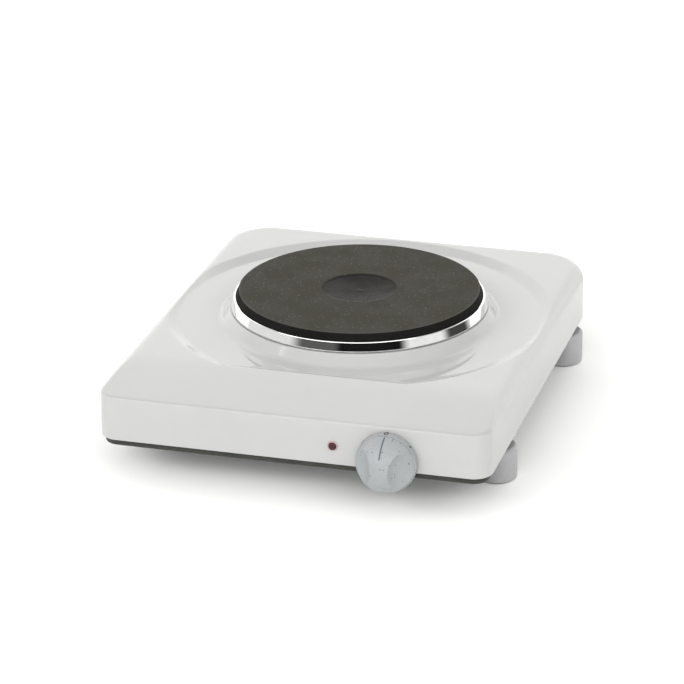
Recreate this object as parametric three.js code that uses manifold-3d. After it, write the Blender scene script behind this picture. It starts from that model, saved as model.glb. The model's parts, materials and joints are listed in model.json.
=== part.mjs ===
// Free-standing electric hot plate with one cast-iron plate. Millimetres, +Z up, front towards -Y.
// The origin is on the floor, in the middle of the whole object's footprint box.
import * as THREE from 'three';
import * as BufferGeometryUtils from 'three/addons/utils/BufferGeometryUtils.js';
import Module from 'manifold-3d';

const wasm = await Module();
wasm.setup();

// ---------------------------------------------------------------- driving dimensions
const GAP = 0.3; // between a piece and the neighbour that cuts or carries it
const RUN = 0.08; // radial running clearance of the switch shaft

const WIDTH = 282; // casing, side to side
const DEPTH = 336; // casing, front to back
const RIM_Z = 30; // casing's lower rim above the floor
const TOP_Z = 71; // flat top of the casing above the floor
const SHEET = 1.2; // casing wall
const FRONT_CORNER = 14; // plan radius of the front corners
const REAR_CORNER = 35; // plan radius of the rear corners
const SHOULDER = 12; // rounding between top and sides
const RAMP_DROP = 9; // flat top down to the bend between ramp and front face
const RAMP_RUN = 56; // front face to the end of the ramp

const PLATE_BACK = 13; // plate axis behind the casing's middle
const PLATE_RISE = 17; // plate above the flat top
const PLATE_RADIUS = 90;
const PLATE_FLARE = 1.8; // how far the slanted upper edge leans in
const PLATE_STEP = 5; // height of the slanted upper edge
const PLATE_EDGE = 1; // broken corner of the top face
const PLATE_SKIRT = 11.4; // top face to the lower edge of the skirt
const PLATE_THICK = 7; // web above the grooves
const BACK_RECESS = 3; // back of the plate above the skirt's edge
const DISH_RADIUS = 27.6;
const DISH_DEPTH = 2.6;
const DISH_LIP = { width: 1.5, depth: 1.1 };
const BOSS_RADIUS = 12;
const BOSS_GAP = 1; // boss above the skirt's edge
const GROOVE_START = 32;
const GROOVE_WALL = 6; // first rib, inside the first groove
const GROOVE_RIB = 3; // iron left between grooves
const GROOVE_MARGIN = 7; // last rib to the opening's edge
const GROOVE_COUNT = 3;

const SEAT_WIDTH = 6; // plate edge beyond the opening in the casing
const RING_STAND = 4; // trim ring's foot beyond the plate
const RING_LIP = 1.8; // and its lip
const RING_HEIGHT = 7;
const RING_SHEET = 0.8;
const GASKET_THICK = 0.8;
const GASKET_WIDTH = 7;
const GASKET_INSET = 1;

const COLLAR_RISE = 4; // raised seat above the flat top
const COLLAR_LAND = 1; // seat beyond the trim ring
const COLLAR_SLOPE = 4.5; // width of the seat's slanted side
const COLLAR_FILLET = 6.5;
const RELIEF_DROP = 4; // round relief below the flat top
const RELIEF_WIDTH = 33.5; // level floor of the relief beyond the seat's side
const RELIEF_WALL = 9.5; // width of the relief's slanted wall

const PAN_INSET = 2.5; // base pan wall inside the casing's outer face
const PAN_DROP = 5; // pan below the casing's rim
const PAN_LAP = 3.5; // and its wall above the rim
const PAN_SHEET = 1;
const VENT_COUNT = 6;
const VENT_PITCH = 14;
const VENT_WIDTH = 4;
const VENT_LENGTH = 44;
const VENT_X = 55; // middle of each row of vents

const FOOT_OVERHANG = 3; // feet beyond the casing's sides
const FOOT_FRONT = 73; // foot centres behind the front face
const FOOT_REAR = 47; // and before the back face
const FOOT_RADIUS = 15;
const FOOT_EDGE = 2.5; // rounded upper edge
const FOOT_SCREW = { length: 12, room: 14, head: 2.4 };
const PAD_DROP = 1; // pad below the foot
const PAD_THICK = 3;
const PAD_RADIUS = 13.2;
const PAD_EDGE = 0.6;

const KNOB_X = 70;
const KNOB_RISE = 7.5; // knob axis above the casing's rim
const KNOB_RADIUS = 21.5;
const KNOB_REACH = 25.5; // front face of the casing to the knob's crown
const DIAL_DEPTH = 6; // fixed dial ring behind the knob
const DIAL_EDGE = 0.4;
const DIAL_SEAT = 0.1; // joint between ring and casing
const KNOB_GAP = 1; // hub in front of the casing
const KNOB_LIP = { wall: 1.7, back: 3.5 }; // lip that turns inside the dial ring
const SCOOP = { beyond: 3.5, grip: 6.5, tall: 1.5, back: 0.5, deep: 20 };
const HUB_RADIUS = 6.5;
const CLIP = { wall: 0.7, length: 2, back: 0.5 };
const SHAFT_RADIUS = 3;
const SHAFT_IN_KNOB = 16;
const SHAFT_HOLE = 5; // hole that the shaft passes in casing and bracket
const SHAFT_FLAT = 2; // flat above the shaft's axis

const SWITCH = { width: 42, height: 30, depth: 28, wall: 3, below: 11 };
const COVER = { thick: 2, rib: 3, ribHeight: 18, ribDepth: 6, ribPitch: 8, ribs: 4 };
const DRUM = { radius: 7, waist: 5.5, collar: 6, end: 12, chamfer: 1, front: 2, back: 5 };
const SHAFT_END = 3; // shaft ends before the switch's open back
const BRACKET = { width: 48, top: 6.2, thick: 1.5 };
const SWITCH_SCREW = { pitch: 28, rise: 4, height: 1.6 };
const SCREW_RADIUS = 2;
const SCREW_HEAD = 3.6;

const LAMP_X = 31;
const LAMP_RISE = 14; // lamp axis above the casing's rim
const LAMP_BARREL = 3.1;
const LAMP_LENGTH = 20;
const LAMP_FLANGE = 3.7;
const LAMP_RIM = 0.9;
const LAMP_SEAT = 0.1;
const LENS_RADIUS = 2.8;
const LENS_CURVE = 4; // radius of the lens's domed face
const LAMP_NUT = { width: 2.7, thick: 0.8 };

const GLAND_IN = 18; // gland axis from the start of the rear corner
const GLAND_RISE = 16; // and above the casing's rim
const GLAND_RADIUS = 8;
const GLAND_FLANGE = 3;
const GLAND_REACH = 10; // behind the casing
const GLAND_INSIDE = 14;
const CORD_BORE = 3.9;
const CLAMP = { back: 30, half: 16, deep: 6, top: 6, screwX: 11, screwLength: 16, head: 2.4 };
const TERMINALS = { back: 55, half: 17, deep: 9, height: 17, pitch: 11, slot: 3, slotLow: 8, slotHigh: 13 };
const EARTH = { aside: 40, back: 40, half: 5, tongue: 18, thick: 0.8, length: 0.7, head: 2.2 };

const LUG_IN = 17; // base screws inside the casing's sides
const LUG_FRONT = 36; // screw lines behind the front face
const LUG_REAR = 75; // and before the back face
const LUG_RISE = 12; // lug above the casing's rim
const LUG = { inner: 6, width: 16, leg: 14, thick: 1.5, wall: 1.3 };
const BASE_SCREW = { beyond: 6, head: 2 };
const SHIELD_RISE = 14; // shield above the casing's rim
const SHIELD_MARGIN = 11; // shield beyond the opening, as far as there is room
const SHIELD_SIDE = 46; // least room beside it
const SHIELD_FOOT = 14;
const SHIELD_SHEET = 1;
const SHIELD_BACK = 4.3; // gap to the mains terminals

const COVER_DROP = 5; // sheet cover below the plate's skirt
const COVER_INSET = 9; // inside the opening
const COVER_WALL = 3;
const COVER_SHEET = 0.8;
const BAR_DROP = 10; // clamp bar below the cover
const BAR = { thick: 1.5, width: 20, lap: 8, slope: 9, shift: 1 };
const STUD = { below: 12, washer: 9, washerThick: 1.5, nut: 10, nutHeight: 5 };
const PLATE_BLOCK = { x: -40, y: 23, half: 18, deep: 9, height: 13, pitch: 10, slot: 2.5, low: 2, high: 8 };
const CUTOUT = { x: 36, y: 24, can: 7.5, flange: 10, height: 8, flangeThick: 2, edge: 0.5 };

const LEAD_RADIUS = 1.4;
const LEAD_SIDE = 31; // leads inside the casing's sides
const LEAD_OVER = 10; // leads above the shield

// Facets round a full turn.
const FINE = 48;
const MEDIUM = 24;
const SMALL = 10;

// ---------------------------------------------------------------- places worked out from them
const FRONT_Y = -DEPTH / 2 - PLATE_BACK; // casing faces in the plate's own frame
const BACK_Y = DEPTH / 2 - PLATE_BACK;
const PLATE_Y = PLATE_BACK + (KNOB_REACH - GLAND_REACH) / 2; // plate axis in the object's frame
const RAMP_Y = FRONT_Y + RAMP_RUN;
const INNER_FRONT = FRONT_Y + SHEET;
const INNER_BACK = BACK_Y - SHEET;

const CREASE_Z = TOP_Z - RAMP_DROP;
const COLLAR_Z = TOP_Z + COLLAR_RISE;
const RELIEF_FLOOR_Z = TOP_Z - RELIEF_DROP;
const PLATE_TOP_Z = TOP_Z + PLATE_RISE;
const PLATE_TOP_RADIUS = PLATE_RADIUS - PLATE_FLARE;
const HOLE_RADIUS = PLATE_RADIUS - SEAT_WIDTH;
const RING_RADIUS = PLATE_RADIUS + RING_STAND;
const RING_LIP_RADIUS = PLATE_RADIUS + RING_LIP;
const COLLAR_RADIUS = RING_RADIUS + COLLAR_LAND;
const COLLAR_FOOT = COLLAR_RADIUS + COLLAR_SLOPE;
const RELIEF_RADIUS = COLLAR_FOOT + RELIEF_WIDTH + RELIEF_WALL;
const GROOVE_PITCH = (HOLE_RADIUS - GROOVE_MARGIN - GROOVE_START) / GROOVE_COUNT;
const GROOVE_WIDTH = GROOVE_PITCH - GROOVE_RIB;
const RING_Z = COLLAR_Z + GASKET_THICK; // underside of the trim ring
const SKIRT_Z = PLATE_TOP_Z - PLATE_SKIRT;
const WEB_Z = PLATE_TOP_Z - PLATE_THICK;
const COVER_Z = SKIRT_Z - COVER_DROP;
const BAR_Z = COVER_Z - BAR_DROP; // flat middle of the clamp bar

const PAN_Z = RIM_Z - PAN_DROP; // underside of the pan
const PAN_TOP_Z = RIM_Z + PAN_LAP;
const PAN_FLOOR = PAN_Z + PAN_SHEET;
const KNOB_Z = RIM_Z + KNOB_RISE;
const LAMP_Z = RIM_Z + LAMP_RISE;
const GLAND_X = -(WIDTH / 2 - REAR_CORNER - GLAND_IN);
const GLAND_Z = RIM_Z + GLAND_RISE;
const FOOT_X = WIDTH / 2 + FOOT_OVERHANG - FOOT_RADIUS;
const LUG_X = WIDTH / 2 - LUG_IN;
const LUG_Z = RIM_Z + LUG_RISE;
const TERMINALS_Y = INNER_BACK - TERMINALS.back;
const SHIELD_Z = RIM_Z + SHIELD_RISE;
const SHIELD_HALF = Math.min(HOLE_RADIUS + SHIELD_MARGIN, WIDTH / 2 - SHIELD_SIDE);
const SHIELD_DEPTH = 2 * (TERMINALS_Y - TERMINALS.deep - SHIELD_BACK);

const BRACKET_Y = INNER_FRONT + GAP;
const SWITCH_Y = Math.max(BRACKET_Y + BRACKET.thick, FRONT_Y + PAN_INSET + PAN_SHEET) + GAP;
const SWITCH_BACK = SWITCH_Y + SWITCH.depth;
const SWITCH_MID_Z = KNOB_Z - SWITCH.below + SWITCH.height / 2;
const SCREW_REACH = Math.hypot(SWITCH_SCREW.pitch / 2, SWITCH_SCREW.rise) + SCREW_HEAD;
const DIAL_INNER = Math.ceil((SCREW_REACH + GAP) * 2) / 2; // clear of the switch's screw heads
const KNOB_BACK = DIAL_DEPTH + GAP; // dome's back edge in front of the dial ring

// ---------------------------------------------------------------- finishes
function finish(color, roughness, metalness) {
  return new THREE.MeshStandardMaterial({ color, roughness, metalness });
}
const ENAMEL = finish(0xe9e9e4, 0.25, 0);
const CAST_IRON = finish(0x45443f, 0.7, 0.3);
const STAINLESS = finish(0xc8c8c8, 0.15, 1);
const ZINC = finish(0xa9adab, 0.4, 0.9);
const GREY_PLASTIC = finish(0xc4c9cb, 0.45, 0);
const FOOT_PLASTIC = finish(0xb4b4b8, 0.5, 0);
const RUBBER = finish(0x1c1c1c, 0.85, 0);
const RED_LENS = finish(0x7a1620, 0.15, 0);
const CLEAR_PLASTIC = finish(0xe6cfd0, 0.3, 0);
const CERAMIC = finish(0xe5e0d4, 0.6, 0);
const DARK_PLASTIC = finish(0x2a2a2c, 0.55, 0);
const CEMENT = finish(0x9a958a, 0.95, 0);
const BRASS = finish(0xb59a55, 0.35, 1);
const FIBRE = finish(0xb9b3a2, 0.9, 0);
const WIRE = finish(0x8a3a2c, 0.6, 0);

// ---------------------------------------------------------------- solids
// Merges a geometry's vertices, drops slivers and turns it so that its faces point out.
function closed(geometry) {
  const bare = geometry.index ? geometry.toNonIndexed() : geometry.clone();
  bare.deleteAttribute('normal');
  bare.deleteAttribute('uv');
  const merged = BufferGeometryUtils.mergeVertices(bare, 1e-4);
  const points = merged.attributes.position;
  const index = merged.index.array;
  const kept = [];
  const [a, b, c] = [new THREE.Vector3(), new THREE.Vector3(), new THREE.Vector3()];
  let volume = 0;
  for (let i = 0; i < index.length; i += 3) {
    const [p, q, r] = [index[i], index[i + 1], index[i + 2]];
    if (p === q || q === r || r === p) continue;
    kept.push(p, q, r);
    a.fromBufferAttribute(points, p);
    b.fromBufferAttribute(points, q);
    c.fromBufferAttribute(points, r);
    volume += a.dot(b.cross(c));
  }
  if (volume < 0) kept.reverse();
  merged.setIndex(kept);
  return merged;
}

function toSolid(geometry) {
  const merged = closed(geometry);
  return new wasm.Manifold(new wasm.Mesh({
    numProp: 3,
    vertProperties: Float32Array.from(merged.attributes.position.array),
    triVerts: Uint32Array.from(merged.index.array),
  }));
}

function toGeometry(solid) {
  const mesh = solid.getMesh();
  const geometry = new THREE.BufferGeometry();
  geometry.setAttribute('position', new THREE.BufferAttribute(Float32Array.from(mesh.vertProperties), 3));
  geometry.setIndex(Array.from(mesh.triVerts));
  return geometry;
}

function cut(base, ...tools) {
  return toGeometry(tools.reduce((rest, tool) => rest.subtract(toSolid(tool)), toSolid(base)));
}

function join(base, ...others) {
  return toGeometry(others.reduce((sum, other) => sum.add(toSolid(other)), toSolid(base)));
}

// Block from its lowest and highest corner.
function block(x0, y0, z0, x1, y1, z1) {
  const box = new THREE.BoxGeometry(x1 - x0, y1 - y0, z1 - z0);
  return box.translate((x0 + x1) / 2, (y0 + y1) / 2, (z0 + z1) / 2);
}

// Solid turned about +Z from a closed profile of [radius, height].
function turned(profile, segments = MEDIUM) {
  const points = [...profile, profile[0]].map(([r, z]) => new THREE.Vector2(r, z));
  return new THREE.LatheGeometry(points, segments).rotateX(Math.PI / 2);
}

function disc(radius, z0, z1, segments = MEDIUM) {
  return turned([[0, z0], [radius, z0], [radius, z1], [0, z1]], segments);
}

function washer(inner, outer, z0, z1, segments = MEDIUM) {
  return turned([[inner, z0], [outer, z0], [outer, z1], [inner, z1]], segments);
}

// Turns a solid made about +Z so that it points out of the front face.
function outwards(geometry, x, y, z) {
  return geometry.rotateX(Math.PI / 2).translate(x, y, z);
}

// Prism across X from a side outline of [y, z].
function sidePrism(outline, x0, x1) {
  const shape = new THREE.Shape(outline.map(([y, z]) => new THREE.Vector2(y, z)));
  const prism = new THREE.ExtrudeGeometry(shape, { depth: x1 - x0, bevelEnabled: false });
  const turn = new THREE.Matrix4().makeBasis(
    new THREE.Vector3(0, 1, 0),
    new THREE.Vector3(0, 0, 1),
    new THREE.Vector3(1, 0, 0),
  );
  return prism.applyMatrix4(turn).translate(x0, 0, 0);
}

// Quarter arc about (cr, cz) between two angles, as profile points.
function arc(cr, cz, radius, from, to, steps) {
  const points = [];
  for (let i = 0; i <= steps; i += 1) {
    const a = THREE.MathUtils.degToRad(from + ((to - from) * i) / steps);
    points.push([cr + radius * Math.cos(a), cz + radius * Math.sin(a)]);
  }
  return points;
}

// Casing's plan outline, drawn in by an inset.
function planOutline(inset) {
  const [x0, x1] = [-WIDTH / 2 + inset, WIDTH / 2 - inset];
  const [y0, y1] = [FRONT_Y + inset, BACK_Y - inset];
  const front = Math.max(FRONT_CORNER - inset, 1);
  const rear = Math.max(REAR_CORNER - inset, 1);
  const shape = new THREE.Shape();
  shape.absarc(x1 - front, y0 + front, front, -Math.PI / 2, 0);
  shape.absarc(x1 - rear, y1 - rear, rear, 0, Math.PI / 2);
  shape.absarc(x0 + rear, y1 - rear, rear, Math.PI / 2, Math.PI);
  shape.absarc(x0 + front, y0 + front, front, Math.PI, 1.5 * Math.PI);
  return shape;
}

function hexagon(acrossFlats, z0, z1) {
  return disc(acrossFlats / Math.sqrt(3), z0, z1, 6);
}

// Pan-head screw standing on z = 0 with its shank downwards.
function screw(radius, head, headHeight, length) {
  return turned([
    [0, -length],
    [radius * 0.6, -length],
    [radius, -length + radius],
    [radius, 0],
    [head, 0],
    [head, headHeight * 0.6],
    [head * 0.7, headHeight],
    [0, headHeight],
  ], SMALL);
}

// ---------------------------------------------------------------- casing
// Solid block of the casing's outer form, or of its inside when drawn in by an offset.
function casingForm(offset) {
  const low = offset > 0 ? RIM_Z - 2 * SHOULDER : RIM_Z - SHOULDER;
  const round = SHOULDER - offset;
  const bulk = new THREE.ExtrudeGeometry(planOutline(offset), {
    depth: TOP_Z - offset - round - low,
    bevelThickness: round,
    bevelSize: round,
    bevelOffset: -round,
    bevelSegments: 4,
    curveSegments: 6,
  }).translate(0, 0, low);
  const slope = Math.atan2(TOP_Z - CREASE_Z, RAMP_RUN);
  const drop = offset / Math.cos(slope);
  const rampEnd = CREASE_Z - (TOP_Z - CREASE_Z) * (5 / RAMP_RUN) - drop;
  const ramp = sidePrism([
    [RAMP_Y, TOP_Z - drop],
    [RAMP_Y, TOP_Z + 30],
    [FRONT_Y - 5, TOP_Z + 30],
    [FRONT_Y - 5, rampEnd],
  ], -WIDTH, WIDTH);
  return toSolid(bulk).subtract(toSolid(ramp)).subtract(reliefCut(offset)).add(collar(offset));
}

// Room above the round relief: a turned dish, cut straight where the ramp begins.
function reliefCut(offset) {
  const wallRise = TOP_Z - RELIEF_FLOOR_Z;
  const shift = offset * Math.tan(Math.atan2(wallRise, RELIEF_WALL) / 2);
  const floor = RELIEF_FLOOR_Z - offset;
  const footRadius = RELIEF_RADIUS - RELIEF_WALL + shift;
  const reach = 60;
  const rise = (reach * wallRise) / RELIEF_WALL;
  const dish = turned([
    [0, floor],
    [footRadius, floor],
    [footRadius + reach, floor + rise],
    [footRadius + reach, floor + rise + 40],
    [0, floor + rise + 40],
  ], FINE);
  const footY = RAMP_Y + RELIEF_WALL - shift;
  const behindRamp = sidePrism([
    [footY, floor],
    [footY - reach, floor + rise],
    [footY - reach, floor + rise + 50],
    [BACK_Y + 80, floor + rise + 50],
    [BACK_Y + 80, floor - 20],
    [footY, floor - 20],
  ], -WIDTH, WIDTH);
  return toSolid(dish).intersect(toSolid(behindRamp));
}

// Raised seat that carries the trim ring.
function collar(offset) {
  const foot = COLLAR_FOOT - offset;
  return toSolid(turned([
    [0, RELIEF_FLOOR_Z - offset - 2],
    [foot + COLLAR_FILLET, RELIEF_FLOOR_Z - offset - 2],
    [foot + COLLAR_FILLET, RELIEF_FLOOR_Z - offset],
    [foot + COLLAR_FILLET * 0.4, RELIEF_FLOOR_Z - offset + 0.7],
    [foot, RELIEF_FLOOR_Z - offset + 2.5],
    [COLLAR_RADIUS + 0.8 - offset, COLLAR_Z - offset - 0.8],
    [COLLAR_RADIUS - offset, COLLAR_Z - offset],
    [0, COLLAR_Z - offset],
  ], FINE));
}

function bodyShell() {
  const solid = casingForm(0).subtract(casingForm(SHEET));
  const belowRim = block(-WIDTH, -DEPTH, RIM_Z - 60, WIDTH, DEPTH, RIM_Z);
  return cut(
    toGeometry(solid),
    belowRim,
    disc(HOLE_RADIUS, COLLAR_Z - 10, COLLAR_Z + 5, FINE),
    outwards(disc(LAMP_BARREL + GAP, -5, 5, MEDIUM), LAMP_X, FRONT_Y, LAMP_Z),
    outwards(disc(SHAFT_HOLE, -5, 5, MEDIUM), KNOB_X, FRONT_Y, KNOB_Z),
    ...switchScrewPlaces().map(([x, z]) => outwards(disc(SCREW_RADIUS + GAP, -5, 5, SMALL), x, FRONT_Y, z)),
    outwards(disc(GLAND_RADIUS + GAP, -5, 5, MEDIUM), GLAND_X, BACK_Y, GLAND_Z),
  );
}

function basePan() {
  const tray = new THREE.ExtrudeGeometry(planOutline(PAN_INSET), {
    depth: PAN_TOP_Z - PAN_Z,
    bevelEnabled: false,
    curveSegments: 8,
  }).translate(0, 0, PAN_Z);
  const hollow = new THREE.ExtrudeGeometry(planOutline(PAN_INSET + PAN_SHEET), {
    depth: PAN_TOP_Z,
    bevelEnabled: false,
    curveSegments: 8,
  }).translate(0, 0, PAN_FLOOR);
  const vents = [];
  for (const side of [-1, 1]) {
    for (let i = 0; i < VENT_COUNT; i += 1) {
      const y = (i - (VENT_COUNT - 1) / 2) * VENT_PITCH;
      const x = side * VENT_X;
      const [half, tall] = [VENT_LENGTH / 2, PAN_FLOOR + 5];
      vents.push(block(x - half, y - VENT_WIDTH / 2, PAN_Z - 5, x + half, y + VENT_WIDTH / 2, tall));
    }
  }
  const hole = SCREW_RADIUS + GAP;
  const screwHoles = [...footPlaces(), ...lugPlaces()].map(([x, y]) => (
    disc(hole, PAN_Z - 5, PAN_FLOOR + 5, SMALL).translate(x, y, 0)));
  return cut(tray, hollow, ...vents, ...screwHoles);
}

// ---------------------------------------------------------------- plate and its seat
function hotplate() {
  const back = SKIRT_Z + BACK_RECESS;
  const rings = [];
  for (let i = 0; i < GROOVE_COUNT; i += 1) {
    const inner = GROOVE_START + i * GROOVE_PITCH;
    const outer = inner + GROOVE_WIDTH;
    rings.push([inner, back], [inner, WEB_Z], [outer, WEB_Z], [outer, back]);
  }
  return turned([
    [0, PLATE_TOP_Z - DISH_DEPTH],
    [0, SKIRT_Z + BOSS_GAP],
    [BOSS_RADIUS, SKIRT_Z + BOSS_GAP],
    [BOSS_RADIUS, WEB_Z],
    [GROOVE_START - GROOVE_WALL, WEB_Z],
    [GROOVE_START - GROOVE_WALL, back],
    ...rings,
    [HOLE_RADIUS + GASKET_INSET, back],
    [HOLE_RADIUS + GASKET_INSET, SKIRT_Z],
    [PLATE_RADIUS, SKIRT_Z],
    [PLATE_RADIUS, PLATE_TOP_Z - PLATE_STEP],
    [PLATE_TOP_RADIUS, PLATE_TOP_Z - PLATE_EDGE],
    [PLATE_TOP_RADIUS - PLATE_EDGE, PLATE_TOP_Z],
    [DISH_RADIUS, PLATE_TOP_Z],
    [DISH_RADIUS - DISH_LIP.width, PLATE_TOP_Z - DISH_LIP.depth],
  ], FINE);
}

function heatingCoil(i) {
  const inner = GROOVE_START + i * GROOVE_PITCH;
  return washer(inner + GAP, inner + GROOVE_WIDTH - GAP, SKIRT_Z + BACK_RECESS, WEB_Z - GAP, FINE);
}

function trimRing() {
  const top = RING_Z + RING_HEIGHT;
  const inner = PLATE_RADIUS + GAP;
  return turned([
    [HOLE_RADIUS, RING_Z],
    [RING_RADIUS, RING_Z],
    [RING_RADIUS, RING_Z + RING_SHEET],
    [RING_LIP_RADIUS, top - 0.5],
    [RING_LIP_RADIUS - 0.5, top],
    [inner, top],
    [inner, top - 0.6],
    [RING_LIP_RADIUS - RING_SHEET, top - 1.2],
    [RING_RADIUS - RING_SHEET, RING_Z + RING_SHEET],
    [HOLE_RADIUS, RING_Z + RING_SHEET],
  ], FINE);
}

function ringGasket() {
  const inner = HOLE_RADIUS + GASKET_INSET;
  return washer(inner, inner + GASKET_WIDTH, COLLAR_Z, RING_Z, FINE);
}

function plateCover() {
  const radius = HOLE_RADIUS - COVER_INSET;
  const tray = turned([
    [0, COVER_Z],
    [radius, COVER_Z],
    [radius, COVER_Z + COVER_WALL],
    [radius - COVER_SHEET, COVER_Z + COVER_WALL],
    [radius - COVER_SHEET, COVER_Z + COVER_SHEET],
    [0, COVER_Z + COVER_SHEET],
  ], FINE);
  return cut(tray, disc(SHAFT_RADIUS + GAP, COVER_Z - 5, COVER_Z + 5, SMALL));
}

function centreStud() {
  return disc(SHAFT_RADIUS, BAR_Z - STUD.below, SKIRT_Z + BOSS_GAP - GAP, SMALL);
}

function studWasher() {
  return washer(SHAFT_RADIUS + GAP, STUD.washer, BAR_Z - STUD.washerThick, BAR_Z, MEDIUM);
}

function studNut() {
  const top = BAR_Z - STUD.washerThick;
  return cut(hexagon(STUD.nut, top - STUD.nutHeight, top), disc(SHAFT_RADIUS + GAP, 0, TOP_Z, SMALL));
}

// Bent strip whose ends press up under the casing's seat.
function clampBar() {
  const [end, bend] = [HOLE_RADIUS + BAR.lap, HOLE_RADIUS - BAR.lap];
  const [outer, inner] = [bend + BAR.slope / 2, bend - BAR.slope / 2];
  const [high, low] = [COLLAR_Z - SHEET - GAP, BAR_Z + BAR.thick];
  const half = [
    [inner + BAR.shift / 2, BAR_Z], [outer + BAR.shift / 2, high - BAR.thick], [end, high - BAR.thick],
    [end, high], [outer - BAR.shift / 2, high], [inner - BAR.shift / 2, low],
  ];
  const other = half.map(([x, z]) => [-x, z]).reverse();
  const strip = new THREE.Shape([...half, ...other].map(([x, z]) => new THREE.Vector2(x, z)));
  const bar = new THREE.ExtrudeGeometry(strip, { depth: BAR.width, bevelEnabled: false });
  bar.rotateX(Math.PI / 2).translate(0, BAR.width / 2, 0);
  return cut(bar, disc(SHAFT_RADIUS + GAP, 0, PLATE_TOP_Z, SMALL));
}

function plateTerminals() {
  const b = PLATE_BLOCK;
  const low = COVER_Z - b.height;
  const body = block(b.x - b.half, b.y - b.deep, low, b.x + b.half, b.y + b.deep, COVER_Z - GAP);
  const slots = [-b.pitch, 0, b.pitch].map((dx) => block(
    b.x + dx - b.slot, b.y - b.deep - 4, low + b.low, b.x + dx + b.slot, b.y + b.deep - 4, low + b.high));
  return cut(body, ...slots);
}

function thermalCutout() {
  const c = CUTOUT;
  const top = COVER_Z - GAP;
  const low = top - c.height;
  return turned([
    [0, low], [c.can - c.edge, low], [c.can, low + c.edge], [c.can, top - c.flangeThick],
    [c.flange, top - c.flangeThick], [c.flange, top], [0, top],
  ], MEDIUM).translate(c.x, c.y, 0);
}

// Sheet under the plate, on two folded legs that stand on the pan.
function heatShield() {
  const [half, foot, t] = [SHIELD_HALF, SHIELD_HALF - SHIELD_FOOT, SHIELD_SHEET];
  const right = [
    [foot, PAN_FLOOR], [half, PAN_FLOOR], [half, SHIELD_Z + t],
  ];
  const inside = [
    [half - t, SHIELD_Z], [half - t, PAN_FLOOR + t], [foot, PAN_FLOOR + t],
  ];
  const mirror = (points) => points.map(([x, z]) => [-x, z]).reverse();
  const outline = [...right, ...mirror(right), ...mirror(inside), ...inside];
  const shape = new THREE.Shape(outline.map(([x, z]) => new THREE.Vector2(x, z)));
  const sheet = new THREE.ExtrudeGeometry(shape, { depth: SHIELD_DEPTH, bevelEnabled: false });
  return closed(sheet.rotateX(Math.PI / 2).translate(0, SHIELD_DEPTH / 2, 0));
}

// ---------------------------------------------------------------- switch and knob
function switchScrewPlaces() {
  return [-1, 1].map((side) => [KNOB_X + (side * SWITCH_SCREW.pitch) / 2, KNOB_Z + SWITCH_SCREW.rise]);
}

function switchBracket() {
  const [x0, x1] = [KNOB_X - BRACKET.width / 2, KNOB_X + BRACKET.width / 2];
  const top = CREASE_Z - BRACKET.top;
  const plate = block(x0, BRACKET_Y, PAN_TOP_Z + GAP, x1, BRACKET_Y + BRACKET.thick, top);
  return cut(
    plate,
    outwards(disc(SHAFT_HOLE, -5, 5, MEDIUM), KNOB_X, BRACKET_Y, KNOB_Z),
    ...switchScrewPlaces().map(([x, z]) => outwards(disc(SCREW_RADIUS + GAP, -5, 5, SMALL), x, BRACKET_Y, z)),
  );
}

function switchHousing() {
  const low = KNOB_Z - SWITCH.below;
  const half = SWITCH.width / 2;
  const w = SWITCH.wall;
  const box = block(KNOB_X - half, SWITCH_Y, low, KNOB_X + half, SWITCH_BACK, low + SWITCH.height);
  const room = block(KNOB_X - half + w, SWITCH_Y + w, low + w, KNOB_X + half - w, SWITCH_BACK + 5,
    low + SWITCH.height - w);
  const bore = outwards(disc(SHAFT_RADIUS + RUN, -w - 5, 5, FINE), KNOB_X, SWITCH_Y, KNOB_Z);
  const threads = switchScrewPlaces().map(([x, z]) => (
    outwards(disc(SCREW_RADIUS + GAP, -w - 5, 5, SMALL), x, SWITCH_Y, z)));
  return cut(box, room, bore, ...threads);
}

function switchCover() {
  const low = KNOB_Z - SWITCH.below;
  const half = SWITCH.width / 2;
  const y = SWITCH_BACK + GAP;
  const [z0, z1] = [SWITCH_MID_Z - COVER.ribHeight / 2, SWITCH_MID_Z + COVER.ribHeight / 2];
  const plate = block(KNOB_X - half, y, low, KNOB_X + half, y + COVER.thick, low + SWITCH.height);
  const ribs = [];
  for (let i = 0; i < COVER.ribs; i += 1) {
    const x = KNOB_X + (i - (COVER.ribs - 1) / 2) * COVER.ribPitch;
    ribs.push(block(x - COVER.rib / 2, y + COVER.thick / 2, z0, x + COVER.rib / 2, y + COVER.ribDepth, z1));
  }
  return join(plate, ...ribs);
}

function switchShaft() {
  const front = FRONT_Y - SHAFT_IN_KNOB;
  const back = SWITCH_BACK - SHAFT_END;
  const rod = outwards(disc(SHAFT_RADIUS, 0, back - front, FINE), KNOB_X, back, KNOB_Z);
  const [end, low] = [FRONT_Y - KNOB_GAP - 1, KNOB_Z + SHAFT_FLAT];
  const flat = block(KNOB_X - 5, front - 1, low, KNOB_X + 5, end, KNOB_Z + 5);
  return cut(rod, flat);
}

// Cam drum: two collars with a waist between them, fast on the shaft.
function camDrum() {
  const front = SWITCH_Y + SWITCH.wall + DRUM.front;
  const back = SWITCH_BACK - DRUM.back;
  const drum = turned([
    [SHAFT_RADIUS + GAP, 0],
    [DRUM.radius, 0],
    [DRUM.radius, DRUM.collar],
    [DRUM.waist, DRUM.collar + DRUM.chamfer],
    [DRUM.waist, DRUM.end],
    [DRUM.radius, DRUM.end + DRUM.chamfer],
    [DRUM.radius, back - front],
    [SHAFT_RADIUS + GAP, back - front],
  ], MEDIUM);
  return outwards(drum, KNOB_X, back, KNOB_Z);
}

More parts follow.
